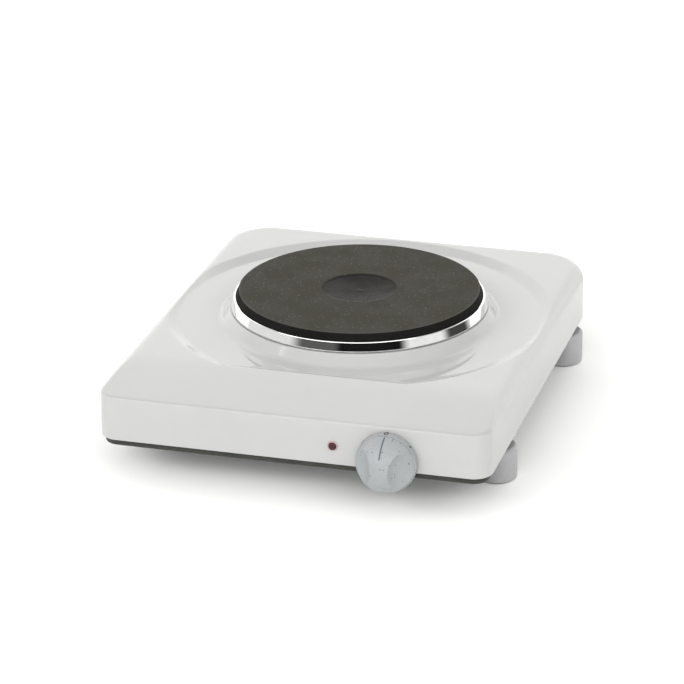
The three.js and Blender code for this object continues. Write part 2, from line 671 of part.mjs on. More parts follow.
// Fixed ring that carries the positions, flat against the casing.
function dialRing() {
  const ring = turned([
    [DIAL_INNER, DIAL_SEAT],
    [KNOB_RADIUS, DIAL_SEAT],
    [KNOB_RADIUS, DIAL_DEPTH - DIAL_EDGE],
    [KNOB_RADIUS - DIAL_EDGE, DIAL_DEPTH],
    [DIAL_INNER, DIAL_DEPTH],
  ], FINE);
  return outwards(ring, KNOB_X, FRONT_Y, KNOB_Z);
}

// Side outline of the knob: hub, lip and dome. Heights are from the casing's front face.
function knobProfile() {
  const lip = DIAL_INNER - GAP;
  const radiusAt = (h) => KNOB_RADIUS * Math.sqrt(Math.max(0, 1 - (h / KNOB_REACH) ** 2));
  const points = [
    [0, KNOB_GAP], [HUB_RADIUS, KNOB_GAP], [HUB_RADIUS, KNOB_BACK],
    [lip - KNOB_LIP.wall, KNOB_BACK], [lip - KNOB_LIP.wall, KNOB_LIP.back], [lip, KNOB_LIP.back],
    [lip, KNOB_BACK], [radiusAt(KNOB_BACK) - GAP, KNOB_BACK],
  ];
  const steps = 8;
  for (let i = 0; i <= steps; i += 1) {
    const h = THREE.MathUtils.lerp(KNOB_BACK + GAP, KNOB_REACH, Math.sin((i / steps) * Math.PI / 2));
    points.push([radiusAt(h), h]);
  }
  return points;
}

function knob() {
  const dome = turned(knobProfile(), FINE);
  const x = KNOB_RADIUS + SCOOP.beyond;
  const scoops = [-1, 1].map((side) => (
    new THREE.SphereGeometry(1, MEDIUM, MEDIUM / 2)
      .scale(x - SCOOP.grip, KNOB_RADIUS + SCOOP.tall, SCOOP.deep)
      .translate(side * x, 0, KNOB_REACH - SCOOP.back)));
  const bore = disc(SHAFT_RADIUS + GAP, KNOB_GAP - 2, SHAFT_IN_KNOB + GAP, MEDIUM);
  return outwards(cut(dome, ...scoops, bore), KNOB_X, FRONT_Y, KNOB_Z);
}

function knobClip() {
  const inner = HUB_RADIUS + GAP;
  const back = KNOB_GAP + CLIP.back;
  const ring = washer(inner, inner + CLIP.wall, back, back + CLIP.length, MEDIUM);
  return outwards(ring, KNOB_X, FRONT_Y, KNOB_Z);
}

// ---------------------------------------------------------------- pilot lamp
function lampBody() {
  const inner = LENS_RADIUS + LAMP_SEAT;
  const profile = [
    [0, -LAMP_LENGTH], [LAMP_BARREL, -LAMP_LENGTH], [LAMP_BARREL, LAMP_SEAT], [LAMP_FLANGE, LAMP_SEAT],
    [LAMP_FLANGE, LAMP_RIM - GAP], [LAMP_FLANGE - GAP, LAMP_RIM], [inner, LAMP_RIM], [inner, -LAMP_SEAT],
    [0, -LAMP_SEAT],
  ];
  return outwards(turned(profile, MEDIUM), LAMP_X, FRONT_Y, LAMP_Z);
}

function lampLens() {
  const rim = LENS_RADIUS - LAMP_SEAT;
  const start = Math.acos(LENS_RADIUS / LENS_CURVE);
  const middle = LAMP_RIM + 0.36 - LENS_CURVE * Math.sin(start);
  const crown = arc(0, middle, LENS_CURVE, THREE.MathUtils.radToDeg(start), 90, 6);
  const profile = [[0, LAMP_SEAT], [rim, LAMP_SEAT], ...crown.map(([r, z]) => [Math.max(r, 0), z])];
  return outwards(turned(profile, MEDIUM), LAMP_X, FRONT_Y, LAMP_Z);
}

function lampClip() {
  const inner = LAMP_BARREL + GAP;
  const front = -SHEET - GAP;
  const ring = washer(inner, inner + LAMP_NUT.width, front - LAMP_NUT.thick, front, SMALL);
  return outwards(ring, LAMP_X, FRONT_Y, LAMP_Z);
}

// ---------------------------------------------------------------- mains side
function mainsTerminals() {
  const t = TERMINALS;
  const z = PAN_FLOOR + GAP;
  const [x, y] = [GLAND_X, TERMINALS_Y];
  const body = block(x - t.half, y - t.deep, z, x + t.half, y + t.deep, z + t.height);
  const slots = [-t.pitch, 0, t.pitch].map((dx) => (
    block(x + dx - t.slot, y - t.deep - 3, z + t.slotLow, x + dx + t.slot, y + t.deep + 3, z + t.slotHigh)));
  return cut(body, ...slots);
}

function cordGland() {
  const seat = SHEET + GAP;
  const barrel = turned([
    [CORD_BORE, -GLAND_INSIDE], [GLAND_RADIUS, -GLAND_INSIDE], [GLAND_RADIUS, seat],
    [GLAND_RADIUS + GLAND_FLANGE, seat], [GLAND_RADIUS + GLAND_FLANGE, SHEET + 2.5],
    [GLAND_RADIUS - 1, SHEET + 3.5], [GLAND_RADIUS - 2, GLAND_REACH + SHEET],
    [CORD_BORE, GLAND_REACH + SHEET],
  ], MEDIUM);
  return barrel.rotateX(-Math.PI / 2).translate(GLAND_X, INNER_BACK, GLAND_Z);
}

function cordClamp() {
  const c = CLAMP;
  const [x, y, z] = [GLAND_X, INNER_BACK - c.back, GLAND_Z];
  const saddle = block(x - c.half, y - c.deep, PAN_FLOOR + GAP, x + c.half, y + c.deep, z + c.top);
  const bore = disc(CORD_BORE, -20, 20, MEDIUM).rotateX(Math.PI / 2).translate(x, y, z);
  return cut(saddle, bore, ...[-c.screwX, c.screwX].map((dx) => (
    disc(SCREW_RADIUS + GAP, PAN_FLOOR - 5, z + 20, SMALL).translate(x + dx, y, 0))));
}

function clampScrew(side) {
  const body = screw(SCREW_RADIUS, SCREW_HEAD, CLAMP.head, CLAMP.screwLength);
  return body.translate(GLAND_X + side * CLAMP.screwX, INNER_BACK - CLAMP.back, GLAND_Z + CLAMP.top);
}

function earthTag() {
  const e = EARTH;
  const [x, y, z] = [GLAND_X + e.aside, INNER_BACK - e.back, PAN_FLOOR];
  const tag = block(x - e.half, y - e.half, z, x + e.half, y + e.tongue, z + e.thick);
  return cut(tag, disc(SCREW_RADIUS + GAP, z - 5, z + 5, SMALL).translate(x, y, 0));
}

function earthScrew() {
  const e = EARTH;
  const body = screw(SCREW_RADIUS, SCREW_HEAD, e.head, e.length);
  return body.translate(GLAND_X + e.aside, INNER_BACK - e.back, PAN_FLOOR + e.thick);
}

// ---------------------------------------------------------------- feet, lugs, fasteners
function footPlaces() {
  return [FRONT_Y + FOOT_FRONT, BACK_Y - FOOT_REAR].flatMap((y) => [[-FOOT_X, y], [FOOT_X, y]]);
}

function foot([x, y]) {
  const body = turned([
    [0, PAD_THICK],
    [PAD_RADIUS + GAP, PAD_THICK],
    [PAD_RADIUS + GAP, PAD_DROP],
    [FOOT_RADIUS - 1, PAD_DROP],
    [FOOT_RADIUS, PAD_DROP + 1],
    ...arc(FOOT_RADIUS - FOOT_EDGE, PAN_Z - FOOT_EDGE, FOOT_EDGE, 0, 90, 4),
    [0, PAN_Z],
  ], MEDIUM);
  return cut(body, disc(SCREW_RADIUS + GAP, PAN_Z - FOOT_SCREW.room, PAN_Z + 5, SMALL)).translate(x, y, 0);
}

function pad([x, y]) {
  const top = PAD_THICK - GAP;
  return turned([
    [0, 0], [PAD_RADIUS - PAD_EDGE, 0], [PAD_RADIUS, PAD_EDGE], [PAD_RADIUS, top], [0, top],
  ], MEDIUM).translate(x, y, 0);
}

function footScrew([x, y]) {
  return screw(SCREW_RADIUS, SCREW_HEAD, FOOT_SCREW.head, FOOT_SCREW.length).translate(x, y, PAN_FLOOR);
}

function lugPlaces() {
  return [FRONT_Y + LUG_FRONT, BACK_Y - LUG_REAR].flatMap((y) => [[-LUG_X, y], [LUG_X, y]]);
}

// Angle lug on the casing's side wall that takes a base screw.
function cornerLug([x, y]) {
  const side = Math.sign(x);
  const wall = WIDTH / 2 - SHEET - GAP;
  const [inner, face] = [LUG_X - LUG.inner, wall - LUG.wall];
  const leg = [[inner, LUG_Z], [wall, LUG_Z], [wall, LUG_Z + LUG.leg], [face, LUG_Z + LUG.leg],
    [face, LUG_Z + LUG.thick], [inner, LUG_Z + LUG.thick]];
  const shape = new THREE.Shape(leg.map(([a, z]) => new THREE.Vector2(side * a, z)));
  const angle = new THREE.ExtrudeGeometry(shape, { depth: LUG.width, bevelEnabled: false });
  angle.rotateX(Math.PI / 2).translate(0, y + LUG.width / 2, 0);
  return cut(angle, disc(SCREW_RADIUS + GAP, LUG_Z - 5, LUG_Z + 5, SMALL).translate(x, y, 0));
}

function baseScrew([x, y]) {
  const length = LUG_Z + BASE_SCREW.beyond - PAN_Z;
  return screw(SCREW_RADIUS, SCREW_HEAD, BASE_SCREW.head, length).rotateX(Math.PI).translate(x, y, PAN_Z);
}

function switchScrew([x, z]) {
  const length = SWITCH_Y + SWITCH.wall - FRONT_Y - 0.5;
  return outwards(screw(SCREW_RADIUS, SCREW_HEAD, SWITCH_SCREW.height, length), x, FRONT_Y, z);
}

// ---------------------------------------------------------------- leads
function lead(points) {
  const path = new THREE.CatmullRomCurve3(points.map(([x, y, z]) => new THREE.Vector3(x, y, z)));
  const ring = new THREE.Shape();
  ring.absarc(0, 0, LEAD_RADIUS, 0, 2 * Math.PI);
  const tube = new THREE.ExtrudeGeometry(ring, { steps: 20, curveSegments: 4, extrudePath: path });
  return closed(tube);
}

// Way points of each lead, from its start at the switch or lamp to its end.
function leadPaths() {
  const y = SWITCH_BACK + 9;
  const z = PAN_FLOOR + 4;
  const over = SHIELD_Z + LEAD_OVER;
  const side = WIDTH / 2 - LEAD_SIDE;
  const terminal = [PLATE_BLOCK.x, PLATE_BLOCK.y - PLATE_BLOCK.deep - 6, COVER_Z - PLATE_BLOCK.height - 0.6];
  const cutout = [CUTOUT.x + 8, CUTOUT.y + 18, COVER_Z - PLATE_BLOCK.height - 0.6];
  return {
    lead_plate_low: [
      [KNOB_X - 8, y, KNOB_Z + 4], [KNOB_X - 20, y + 20, over - 2], [-10, FRONT_Y + 111, over],
      [terminal[0], terminal[1] - 18, over], terminal,
    ],
    lead_plate_high: [
      [KNOB_X + 8, y, KNOB_Z + 4], [KNOB_X + 4, y + 24, over - 1], [64, cutout[1] - 72, over],
      [52, cutout[1] - 28, over], cutout,
    ],
    lead_mains: [
      [KNOB_X, y, KNOB_Z - 4], [KNOB_X + 24, y + 14, z + 4], [side - 2, FRONT_Y + 85, z + 2],
      [side, 0, z + 2], [side - 6, INNER_BACK - 58, z + 2], [side - 50, INNER_BACK - 42, z + 2],
      [GLAND_X + 48, INNER_BACK - 42, z + 4], [GLAND_X + TERMINALS.half + 9, TERMINALS_Y, z + 9],
    ],
    lead_lamp: [
      [LAMP_X, FRONT_Y + 24, LAMP_Z], [LAMP_X - 6, FRONT_Y + 40, LAMP_Z - 4], [10, FRONT_Y + 69, z + 6],
      [26 - side, FRONT_Y + 69, z + 2], [2 - side, FRONT_Y + 97, z + 2], [-side, 0, z + 2],
      [-side - 2, INNER_BACK - 74, z + 4], [GLAND_X - TERMINALS.half - 7, TERMINALS_Y, z + 9],
    ],
  };
}

// ---------------------------------------------------------------- assembly
const assembly = new THREE.Group();
assembly.name = 'hot_plate';
assembly.position.set(0, PLATE_Y, 0);

function put(name, geometry, material) {
  const mesh = new THREE.Mesh(geometry, material);
  mesh.name = name;
  assembly.add(mesh);
}

put('body_shell', bodyShell(), ENAMEL);
put('base_pan', basePan(), ZINC);
put('hotplate', hotplate(), CAST_IRON);
['inner', 'middle', 'outer'].forEach((place, i) => put(`heating_coil_${place}`, heatingCoil(i), CEMENT));
put('trim_ring', trimRing(), STAINLESS);
put('ring_gasket', ringGasket(), FIBRE);
put('plate_cover', plateCover(), ZINC);
put('centre_stud', centreStud(), ZINC);
put('stud_washer', studWasher(), ZINC);
put('stud_nut', studNut(), ZINC);
put('clamp_bar', clampBar(), ZINC);
put('plate_terminals', plateTerminals(), CERAMIC);
put('thermal_cutout', thermalCutout(), ZINC);
put('heat_shield', heatShield(), ZINC);
put('switch_bracket', switchBracket(), ZINC);
put('switch_housing', switchHousing(), DARK_PLASTIC);
put('switch_cover', switchCover(), DARK_PLASTIC);
['left', 'right'].forEach((side, i) => {
  put(`switch_screw_${side}`, switchScrew(switchScrewPlaces()[i]), ZINC);
});
put('switch_shaft', switchShaft(), BRASS);
put('cam_drum', camDrum(), CERAMIC);
put('dial_ring', dialRing(), GREY_PLASTIC);
put('knob', knob(), GREY_PLASTIC);
put('knob_clip', knobClip(), STAINLESS);
put('lamp_body', lampBody(), CLEAR_PLASTIC);
put('lamp_lens', lampLens(), RED_LENS);
put('lamp_clip', lampClip(), STAINLESS);
put('mains_terminals', mainsTerminals(), CERAMIC);
put('cord_gland', cordGland(), RUBBER);
put('cord_clamp', cordClamp(), DARK_PLASTIC);
put('cord_clamp_screw_left', clampScrew(-1), ZINC);
put('cord_clamp_screw_right', clampScrew(1), ZINC);
put('earth_tag', earthTag(), BRASS);
put('earth_screw', earthScrew(), ZINC);
['front_left', 'front_right', 'rear_left', 'rear_right'].forEach((corner, i) => {
  put(`foot_${corner}`, foot(footPlaces()[i]), FOOT_PLASTIC);
  put(`foot_pad_${corner}`, pad(footPlaces()[i]), RUBBER);
  put(`foot_screw_${corner}`, footScrew(footPlaces()[i]), ZINC);
  put(`corner_lug_${corner}`, cornerLug(lugPlaces()[i]), ZINC);
  put(`base_screw_${corner}`, baseScrew(lugPlaces()[i]), ZINC);
});
Object.entries(leadPaths()).forEach(([name, points]) => put(name, lead(points), WIRE));

export default assembly;
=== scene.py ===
"""Looks of a free-standing electric hot plate, built round its fixed CAD frame.

Sizes in the classes are millimetres. Meshes are made in metres, in the frame's own axes.
"""

import json
import logging
import math
from dataclasses import dataclass
from enum import Enum
from typing import Any, Callable, Sequence

import bmesh
import bpy
import numpy as np
from mathutils import Matrix, Vector


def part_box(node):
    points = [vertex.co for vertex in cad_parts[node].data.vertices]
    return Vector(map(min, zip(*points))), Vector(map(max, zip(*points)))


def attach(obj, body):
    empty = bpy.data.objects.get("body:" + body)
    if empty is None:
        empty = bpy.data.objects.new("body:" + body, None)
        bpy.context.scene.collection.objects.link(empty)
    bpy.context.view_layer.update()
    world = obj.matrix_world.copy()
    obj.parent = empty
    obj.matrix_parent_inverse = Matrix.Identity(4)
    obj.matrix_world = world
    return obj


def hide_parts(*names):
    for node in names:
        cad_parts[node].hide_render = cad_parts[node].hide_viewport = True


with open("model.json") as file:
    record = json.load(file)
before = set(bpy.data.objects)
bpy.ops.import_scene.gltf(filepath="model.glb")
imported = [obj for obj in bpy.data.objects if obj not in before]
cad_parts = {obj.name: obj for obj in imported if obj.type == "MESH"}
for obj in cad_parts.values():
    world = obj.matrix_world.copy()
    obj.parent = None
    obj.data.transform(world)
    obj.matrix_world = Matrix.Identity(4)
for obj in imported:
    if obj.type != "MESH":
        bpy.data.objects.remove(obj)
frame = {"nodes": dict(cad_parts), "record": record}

LOG = logging.getLogger("hot_plate")
MM = 0.001
ROOT_BODY = "root"
KNOB_BODY = "knob_body"
CORNERS = ("front_left", "front_right", "rear_left", "rear_right")

Point = tuple[float, float]
Corner = tuple[float, float, float]
Colour = tuple[float, float, float]


# ---------------------------------------------------------------------------- node trees


class Bench:
    """A node tree with short ways to add and join nodes."""

    def __init__(self, tree: bpy.types.NodeTree) -> None:
        """Works on one tree.

        Args:
            tree: The node tree that nodes are added to.
        """
        self.tree = tree

    def node(
        self, kind: str, settings: dict[str, Any] | None = None, **inputs: Any
    ) -> bpy.types.Node:
        """Adds a node.

        Args:
            kind: The node's Blender type.
            settings: Properties set on the node itself.
            **inputs: Values or output sockets by input name, with spaces as underscores.

        Returns:
            The new node.
        """
        made = self.tree.nodes.new(kind)
        for name, value in (settings or {}).items():
            setattr(made, name, value)
        for name, value in inputs.items():
            self.feed(made, name.replace("_", " "), value)
        return made

    def feed(self, node: bpy.types.Node, key: str | int, value: Any) -> None:
        """Links an output into an input, or sets the input's own value.

        Args:
            node: The node that is fed.
            key: The input's name or place.
            value: An output socket, a number or a tuple.
        """
        socket = node.inputs[key]
        if isinstance(value, bpy.types.NodeSocket):
            self.tree.links.new(value, socket)
        else:
            socket.default_value = value

    def maths(self, operation: str, *values: Any, clamp: bool = False) -> Any:
        """Adds a Math node and gives its output socket."""
        made = self.node("ShaderNodeMath", {"operation": operation, "use_clamp": clamp})
        for place, value in enumerate(values):
            self.feed(made, place, value)
        return made.outputs[0]

    def vector_maths(self, operation: str, *values: Any) -> Any:
        """Adds a Vector Math node and gives its first live output socket."""
        made = self.node("ShaderNodeVectorMath", {"operation": operation})
        for place, value in enumerate(values):
            self.feed(made, place, value)
        lengths = ("LENGTH", "DISTANCE", "DOT_PRODUCT")
        return made.outputs["Value" if operation in lengths else "Vector"]

    def blend(self, share: Any, low: Any, high: Any) -> Any:
        """Mixes two colours.

        Args:
            share: 0 gives low and 1 gives high.
            low: The first colour or socket.
            high: The second colour or socket.

        Returns:
            The mixed colour's socket.
        """
        made = self.node("ShaderNodeMix", {"data_type": "RGBA", "clamp_factor": True})
        self.feed(made, 0, share)
        self.feed(made, 6, low if not isinstance(low, tuple) else (*low, 1.0))
        self.feed(made, 7, high if not isinstance(high, tuple) else (*high, 1.0))
        return made.outputs[2]

    def spread(self, value: Any, low: float, high: float, to_low: float, to_high: float) -> Any:
        """Maps a value from one range to another, held at the ends."""
        made = self.node("ShaderNodeMapRange", {"clamp": True, "interpolation_type": "SMOOTHSTEP"})
        for place, number in enumerate((value, low, high, to_low, to_high)):
            self.feed(made, place, number)
        return made.outputs[0]


def shared_group(
    name: str,
    inputs: Sequence[tuple[str, str, Any]],
    outputs: Sequence[tuple[str, str]],
    fill: Callable[[Bench, Any, Any], None],
) -> bpy.types.NodeTree:
    """Makes a shader node group once and gives it back each time.

    Args:
        name: The group's name.
        inputs: Name, socket type and first value of each input.
        outputs: Name and socket type of each output.
        fill: Builds the inside from the bench, the input node and the output node.

    Returns:
        The node group.
    """
    known = bpy.data.node_groups.get(name)
    if known is not None:
        return known
    tree = bpy.data.node_groups.new(name, "ShaderNodeTree")
    for label, kind, value in inputs:
        made = tree.interface.new_socket(label, in_out="INPUT", socket_type=kind)
        if value is not None:
            made.default_value = value
    for label, kind in outputs:
        tree.interface.new_socket(label, in_out="OUTPUT", socket_type=kind)
    bench = Bench(tree)
    fill(bench, bench.node("NodeGroupInput"), bench.node("NodeGroupOutput"))
    return tree


FLOAT = "NodeSocketFloat"
VECTOR = "NodeSocketVector"


def mottle_group() -> bpy.types.NodeTree:
    """Soft uneven tone: a broad cloud with a finer one laid over it."""

    def fill(bench: Bench, source: Any, sink: Any) -> None:
        """Lays two noises over each other."""
        take = source.outputs
        broad = bench.node(
            "ShaderNodeTexNoise", Vector=take["Vector"], Scale=take["Scale"], Detail=3.0
        )
        fine_scale = bench.maths("MULTIPLY", take["Scale"], 7.3)
        fine = bench.node("ShaderNodeTexNoise", Vector=take["Vector"], Scale=fine_scale, Detail=2.0)
        both = bench.maths("MULTIPLY", fine.outputs[0], 0.35)
        both = bench.maths("MULTIPLY_ADD", broad.outputs[0], 0.65, both)
        bench.feed(sink, "Tone", bench.spread(both, 0.35, 0.65, 0.0, 1.0))

    inputs = [("Vector", VECTOR, None), ("Scale", FLOAT, 40.0)]
    return shared_group("soft_mottle", inputs, [("Tone", FLOAT)], fill)


def speckle_group() -> bpy.types.NodeTree:
    """Small round specks of uneven size, scattered by share."""

    def fill(bench: Bench, source: Any, sink: Any) -> None:
        """Turns cells into specks, most of which are left out."""
        take = source.outputs
        cells = bench.node("ShaderNodeTexVoronoi", Vector=take["Vector"], Scale=take["Scale"])
        pick = bench.node("ShaderNodeSeparateColor", Color=cells.outputs["Color"])
        kept = bench.maths("LESS_THAN", pick.outputs[0], take["Share"])
        size = bench.maths("MULTIPLY_ADD", pick.outputs[1], 0.22, 0.1)
        edge = bench.maths("SUBTRACT", size, cells.outputs["Distance"])
        speck = bench.maths("MULTIPLY", edge, 9.0, clamp=True)
        bench.feed(sink, "Mask", bench.maths("MULTIPLY", speck, kept))

    inputs = [("Vector", VECTOR, None), ("Scale", FLOAT, 800.0), ("Share", FLOAT, 0.2)]
    return shared_group("fine_speckle", inputs, [("Mask", FLOAT)], fill)


def turning_group() -> bpy.types.NodeTree:
    """Rings left by a lathe tool about an upright axis at the vector's origin."""

    def fill(bench: Bench, source: Any, sink: Any) -> None:
        """Makes uneven concentric rings from the distance to the axis."""
        take = source.outputs
        flat = bench.vector_maths("MULTIPLY", take["Vector"], (1.0, 1.0, 0.0))
        radius = bench.vector_maths("LENGTH", flat)
        turns = bench.maths("DIVIDE", radius, take["Pitch"])
        uneven = bench.node("ShaderNodeTexNoise", {"noise_dimensions": "1D"}, W=turns, Scale=0.7)
        wave = bench.maths("SINE", bench.maths("MULTIPLY", turns, 2.0 * math.pi))
        bench.feed(sink, "Height", bench.maths("MULTIPLY", wave, uneven.outputs[0]))

    inputs = [("Vector", VECTOR, None), ("Pitch", FLOAT, 0.0006)]
    return shared_group("lathe_rings", inputs, [("Height", FLOAT)], fill)


def edge_wear_group() -> bpy.types.NodeTree:
    """Rubbed outer edges, broken up by a fine noise."""

    def fill(bench: Bench, source: Any, sink: Any) -> None:
        """Takes the sharp outer edges and breaks them up."""
        take = source.outputs
        point = bench.node("ShaderNodeNewGeometry").outputs["Pointiness"]
        edge = bench.spread(point, 0.505, 0.56, 0.0, 1.0)
        rough = bench.node("ShaderNodeTexNoise", Vector=take["Vector"], Scale=take["Scale"])
        broken = bench.spread(rough.outputs[0], 0.4, 0.62, 0.0, 1.0)
        worn = bench.maths("MULTIPLY", edge, broken)
        bench.feed(sink, "Mask", bench.maths("MULTIPLY", worn, take["Amount"], clamp=True))

    inputs = [("Vector", VECTOR, None), ("Scale", FLOAT, 300.0), ("Amount", FLOAT, 0.6)]
    return shared_group("edge_wear", inputs, [("Mask", FLOAT)], fill)


def dust_group() -> bpy.types.NodeTree:
    """A thin film of dust on faces that look up."""

    def fill(bench: Bench, source: Any, sink: Any) -> None:
        """Keeps the upward faces and clouds them."""
        take = source.outputs
        normal = bench.node("ShaderNodeNewGeometry").outputs["Normal"]
        upward = bench.node("ShaderNodeSeparateXYZ", Vector=normal).outputs[2]
        lying = bench.spread(upward, 0.55, 0.95, 0.0, 1.0)
        cloud = bench.node("ShaderNodeTexNoise", Vector=take["Vector"], Scale=60.0, Detail=4.0)
        film = bench.maths("MULTIPLY", lying, bench.spread(cloud.outputs[0], 0.3, 0.7, 0.2, 1.0))
        bench.feed(sink, "Mask", bench.maths("MULTIPLY", film, take["Amount"], clamp=True))

    inputs = [("Vector", VECTOR, None), ("Amount", FLOAT, 0.1)]
    return shared_group("dust_film", inputs, [("Mask", FLOAT)], fill)


def use_group(bench: Bench, tree: bpy.types.NodeTree, **inputs: Any) -> Any:
    """Places a shared group in a material.

    Args:
        bench: The material's bench.
        tree: The group.
        **inputs: Values or sockets by input name.

    Returns:
        The group's output socket.
    """
    made = bench.node("ShaderNodeGroup", {"node_tree": tree})
    for name, value in inputs.items():
        bench.feed(made, name, value)
    return made.outputs[0]


def fresh_bench(owner: Any) -> Bench:
    """Empties the node tree of a material or world and gives its bench."""
    owner.use_nodes = True
    owner.node_tree.nodes.clear()
    return Bench(owner.node_tree)


# ---------------------------------------------------------------------------- finishes


@dataclass(frozen=True)
class Finish:
    """A surface with uneven tone, uneven gloss and a fine relief."""

    name: str
    colour: Colour
    tone: Colour
    rough: tuple[float, float] = (0.4, 0.5)
    metallic: float = 0.0
    mottle: float = 60.0
    grain: float = 900.0
    relief: float = 0.00002
    ior: float = 1.5
    dust: float = 0.0
    centre: tuple[float, float, float] = (0.0, 0.0, 0.0)

    def material(self) -> bpy.types.Material:
        """Gives the material, made the first time it is asked for."""
        known = bpy.data.materials.get(self.name)
        if known is not None:
            return known
        made = bpy.data.materials.new(self.name)
        bench = fresh_bench(made)
        shader = bench.node("ShaderNodeBsdfPrincipled")
        sink = bench.node("ShaderNodeOutputMaterial")
        bench.feed(sink, "Surface", shader.outputs[0])
        shader.inputs["Metallic"].default_value = self.metallic
        shader.inputs["IOR"].default_value = self.ior
        self.dress(bench, shader, self.place(bench))
        return made

    def place(self, bench: Bench) -> Any:
        """Gives object coordinates measured from the finish's own centre."""
        where = bench.node("ShaderNodeTexCoord").outputs["Object"]
        if not any(self.centre):
            return where
        shift = tuple(-part * MM for part in self.centre)
        return bench.node("ShaderNodeMapping", Vector=where, Location=shift).outputs[0]

    def dress(self, bench: Bench, shader: bpy.types.Node, where: Any) -> None:
        """Feeds colour, gloss and relief into the shader.

        Args:
            bench: The material's bench.
            shader: The Principled shader.
            where: The pattern's coordinates.
        """
        tone = use_group(bench, mottle_group(), Vector=where, Scale=self.mottle)
        colour = bench.blend(tone, self.colour, self.tone)
        if self.dust:
            film = use_group(bench, dust_group(), Vector=where, Amount=self.dust)
            colour = bench.blend(film, colour, (0.5, 0.48, 0.44))
        bench.feed(shader, "Base Color", colour)
        bench.feed(shader, "Roughness", bench.spread(tone, 0.0, 1.0, *self.rough))
        self.emboss(bench, shader, self.grain_height(bench, where))

    def grain_height(self, bench: Bench, where: Any) -> Any:
        """Gives the height of the fine surface grain."""
        return bench.node(
            "ShaderNodeTexNoise", Vector=where, Scale=self.grain, Detail=2.0
        ).outputs[0]

    def emboss(self, bench: Bench, shader: bpy.types.Node, height: Any) -> None:
        """Feeds a height into the shader's normal."""
        bump = bench.node("ShaderNodeBump", Height=height, Strength=1.0, Distance=self.relief)
        bench.feed(shader, "Normal", bump.outputs[0])


@dataclass(frozen=True)
class SpeckledFinish(Finish):
    """A moulded plastic with fine specks of a second colour in it."""

    speck: Colour = (0.2, 0.22, 0.24)
    speck_scale: float = 1500.0
    speck_share: float = 0.3
    speck_depth: float = 0.5

    def dress(self, bench: Bench, shader: bpy.types.Node, where: Any) -> None:
        """Adds the specks to the plain finish.

        Args:
            bench: The material's bench.
            shader: The Principled shader.
            where: The pattern's coordinates.
        """
        tone = use_group(bench, mottle_group(), Vector=where, Scale=self.mottle)
        specks = use_group(
            bench, speckle_group(), Vector=where, Scale=self.speck_scale, Share=self.speck_share
        )
        colour = bench.blend(tone, self.colour, self.tone)
        share = bench.maths("MULTIPLY", specks, self.speck_depth)
        bench.feed(shader, "Base Color", bench.blend(share, colour, self.speck))
        bench.feed(shader, "Roughness", bench.spread(tone, 0.0, 1.0, *self.rough))
        grain = self.grain_height(bench, where)
        self.emboss(bench, shader, bench.maths("MULTIPLY_ADD", specks, -0.6, grain))


@dataclass(frozen=True)
class CastIronFinish(Finish):
    """Dark-coated cast iron: pale flecks, painted shade in the dish and a rubbed top edge."""

    fleck: Colour = (0.21, 0.185, 0.14)
    fleck_scale: float = 640.0
    fleck_share: float = 0.36
    fleck_depth: float = 0.6
    fleck_gloss: float = 0.12
    ring_pitch: float = 0.0011
    ring_height: float = 0.05
    side: Colour = (0.006, 0.006, 0.0055)
    worn: Colour = (0.07, 0.066, 0.058)
    rim: tuple[float, float, float] = (86.2, 87.6, 88.6)
    rubbing: float = 0.55
    side_matt: float = 0.3
    facing_up: tuple[float, float] = (0.75, 0.93)
    dish_reach: float = 27.2
    # Painted shade in the dish: its strength from the near to the far side, and its colour.
    dish_shade_range: tuple[float, float] = (0.5, 1.0)
    dish_shade_colour: Colour = (0.006, 0.0055, 0.005)

    def dress(self, bench: Bench, shader: bpy.types.Node, where: Any) -> None:
        """Lays flecks, painted shade in the dish, the rubbed edge and faint rings over the coating.

        Args:
            bench: The material's bench.
            shader: The Principled shader.
            where: The pattern's coordinates, from the plate's axis.
        """
        tone = use_group(bench, mottle_group(), Vector=where, Scale=self.mottle)
        flecks = use_group(
            bench, speckle_group(), Vector=where, Scale=self.fleck_scale, Share=self.fleck_share
        )
        flat = bench.vector_maths("MULTIPLY", where, (1.0, 1.0, 0.0))
        radius = bench.vector_maths("LENGTH", flat)
        near, crest, far = (edge * MM for edge in self.rim)
        rising = bench.spread(radius, near, crest, 0.0, self.rubbing)
        rubbed = bench.maths("MULTIPLY", rising, bench.spread(radius, crest, far, 1.0, 0.0))
        colour = bench.blend(tone, self.colour, self.tone)
        shown = bench.maths("MULTIPLY", flecks, self.fleck_depth)
        colour = bench.blend(shown, colour, self.fleck)
        colour = bench.blend(rubbed, colour, self.worn)
        # Painted shade: the dish is darkened inside dish_reach, more towards the far side, to stand
        # for its shading.
        reach = self.dish_reach * MM
        inside = bench.spread(radius, reach - MM, reach, 1.0, 0.0)
        across = bench.node("ShaderNodeSeparateXYZ", Vector=where).outputs[1]
        far_side_shade = bench.spread(across, -reach, reach, *self.dish_shade_range)
        painted_dish_shade = bench.maths("MULTIPLY", inside, far_side_shade)
        colour = bench.blend(painted_dish_shade, colour, self.dish_shade_colour)
        normal = bench.node("ShaderNodeNewGeometry").outputs["True Normal"]
        upward = bench.node("ShaderNodeSeparateXYZ", Vector=normal).outputs[2]
        top = bench.spread(upward, *self.facing_up, 0.0, 1.0)
        bench.feed(shader, "Base Color", bench.blend(top, self.side, colour))
        matt = bench.spread(tone, 0.0, 1.0, *self.rough)
        matt = bench.maths("MULTIPLY_ADD", flecks, -self.fleck_gloss, matt)
        side_matt = bench.spread(top, 0.0, 1.0, self.side_matt, 0.0)
        bench.feed(shader, "Roughness", bench.maths("ADD", matt, side_matt, clamp=True))
        rings = use_group(bench, turning_group(), Vector=where, Pitch=self.ring_pitch)
        grain = self.grain_height(bench, where)
        self.emboss(bench, shader, bench.maths("MULTIPLY_ADD", rings, self.ring_height, grain))


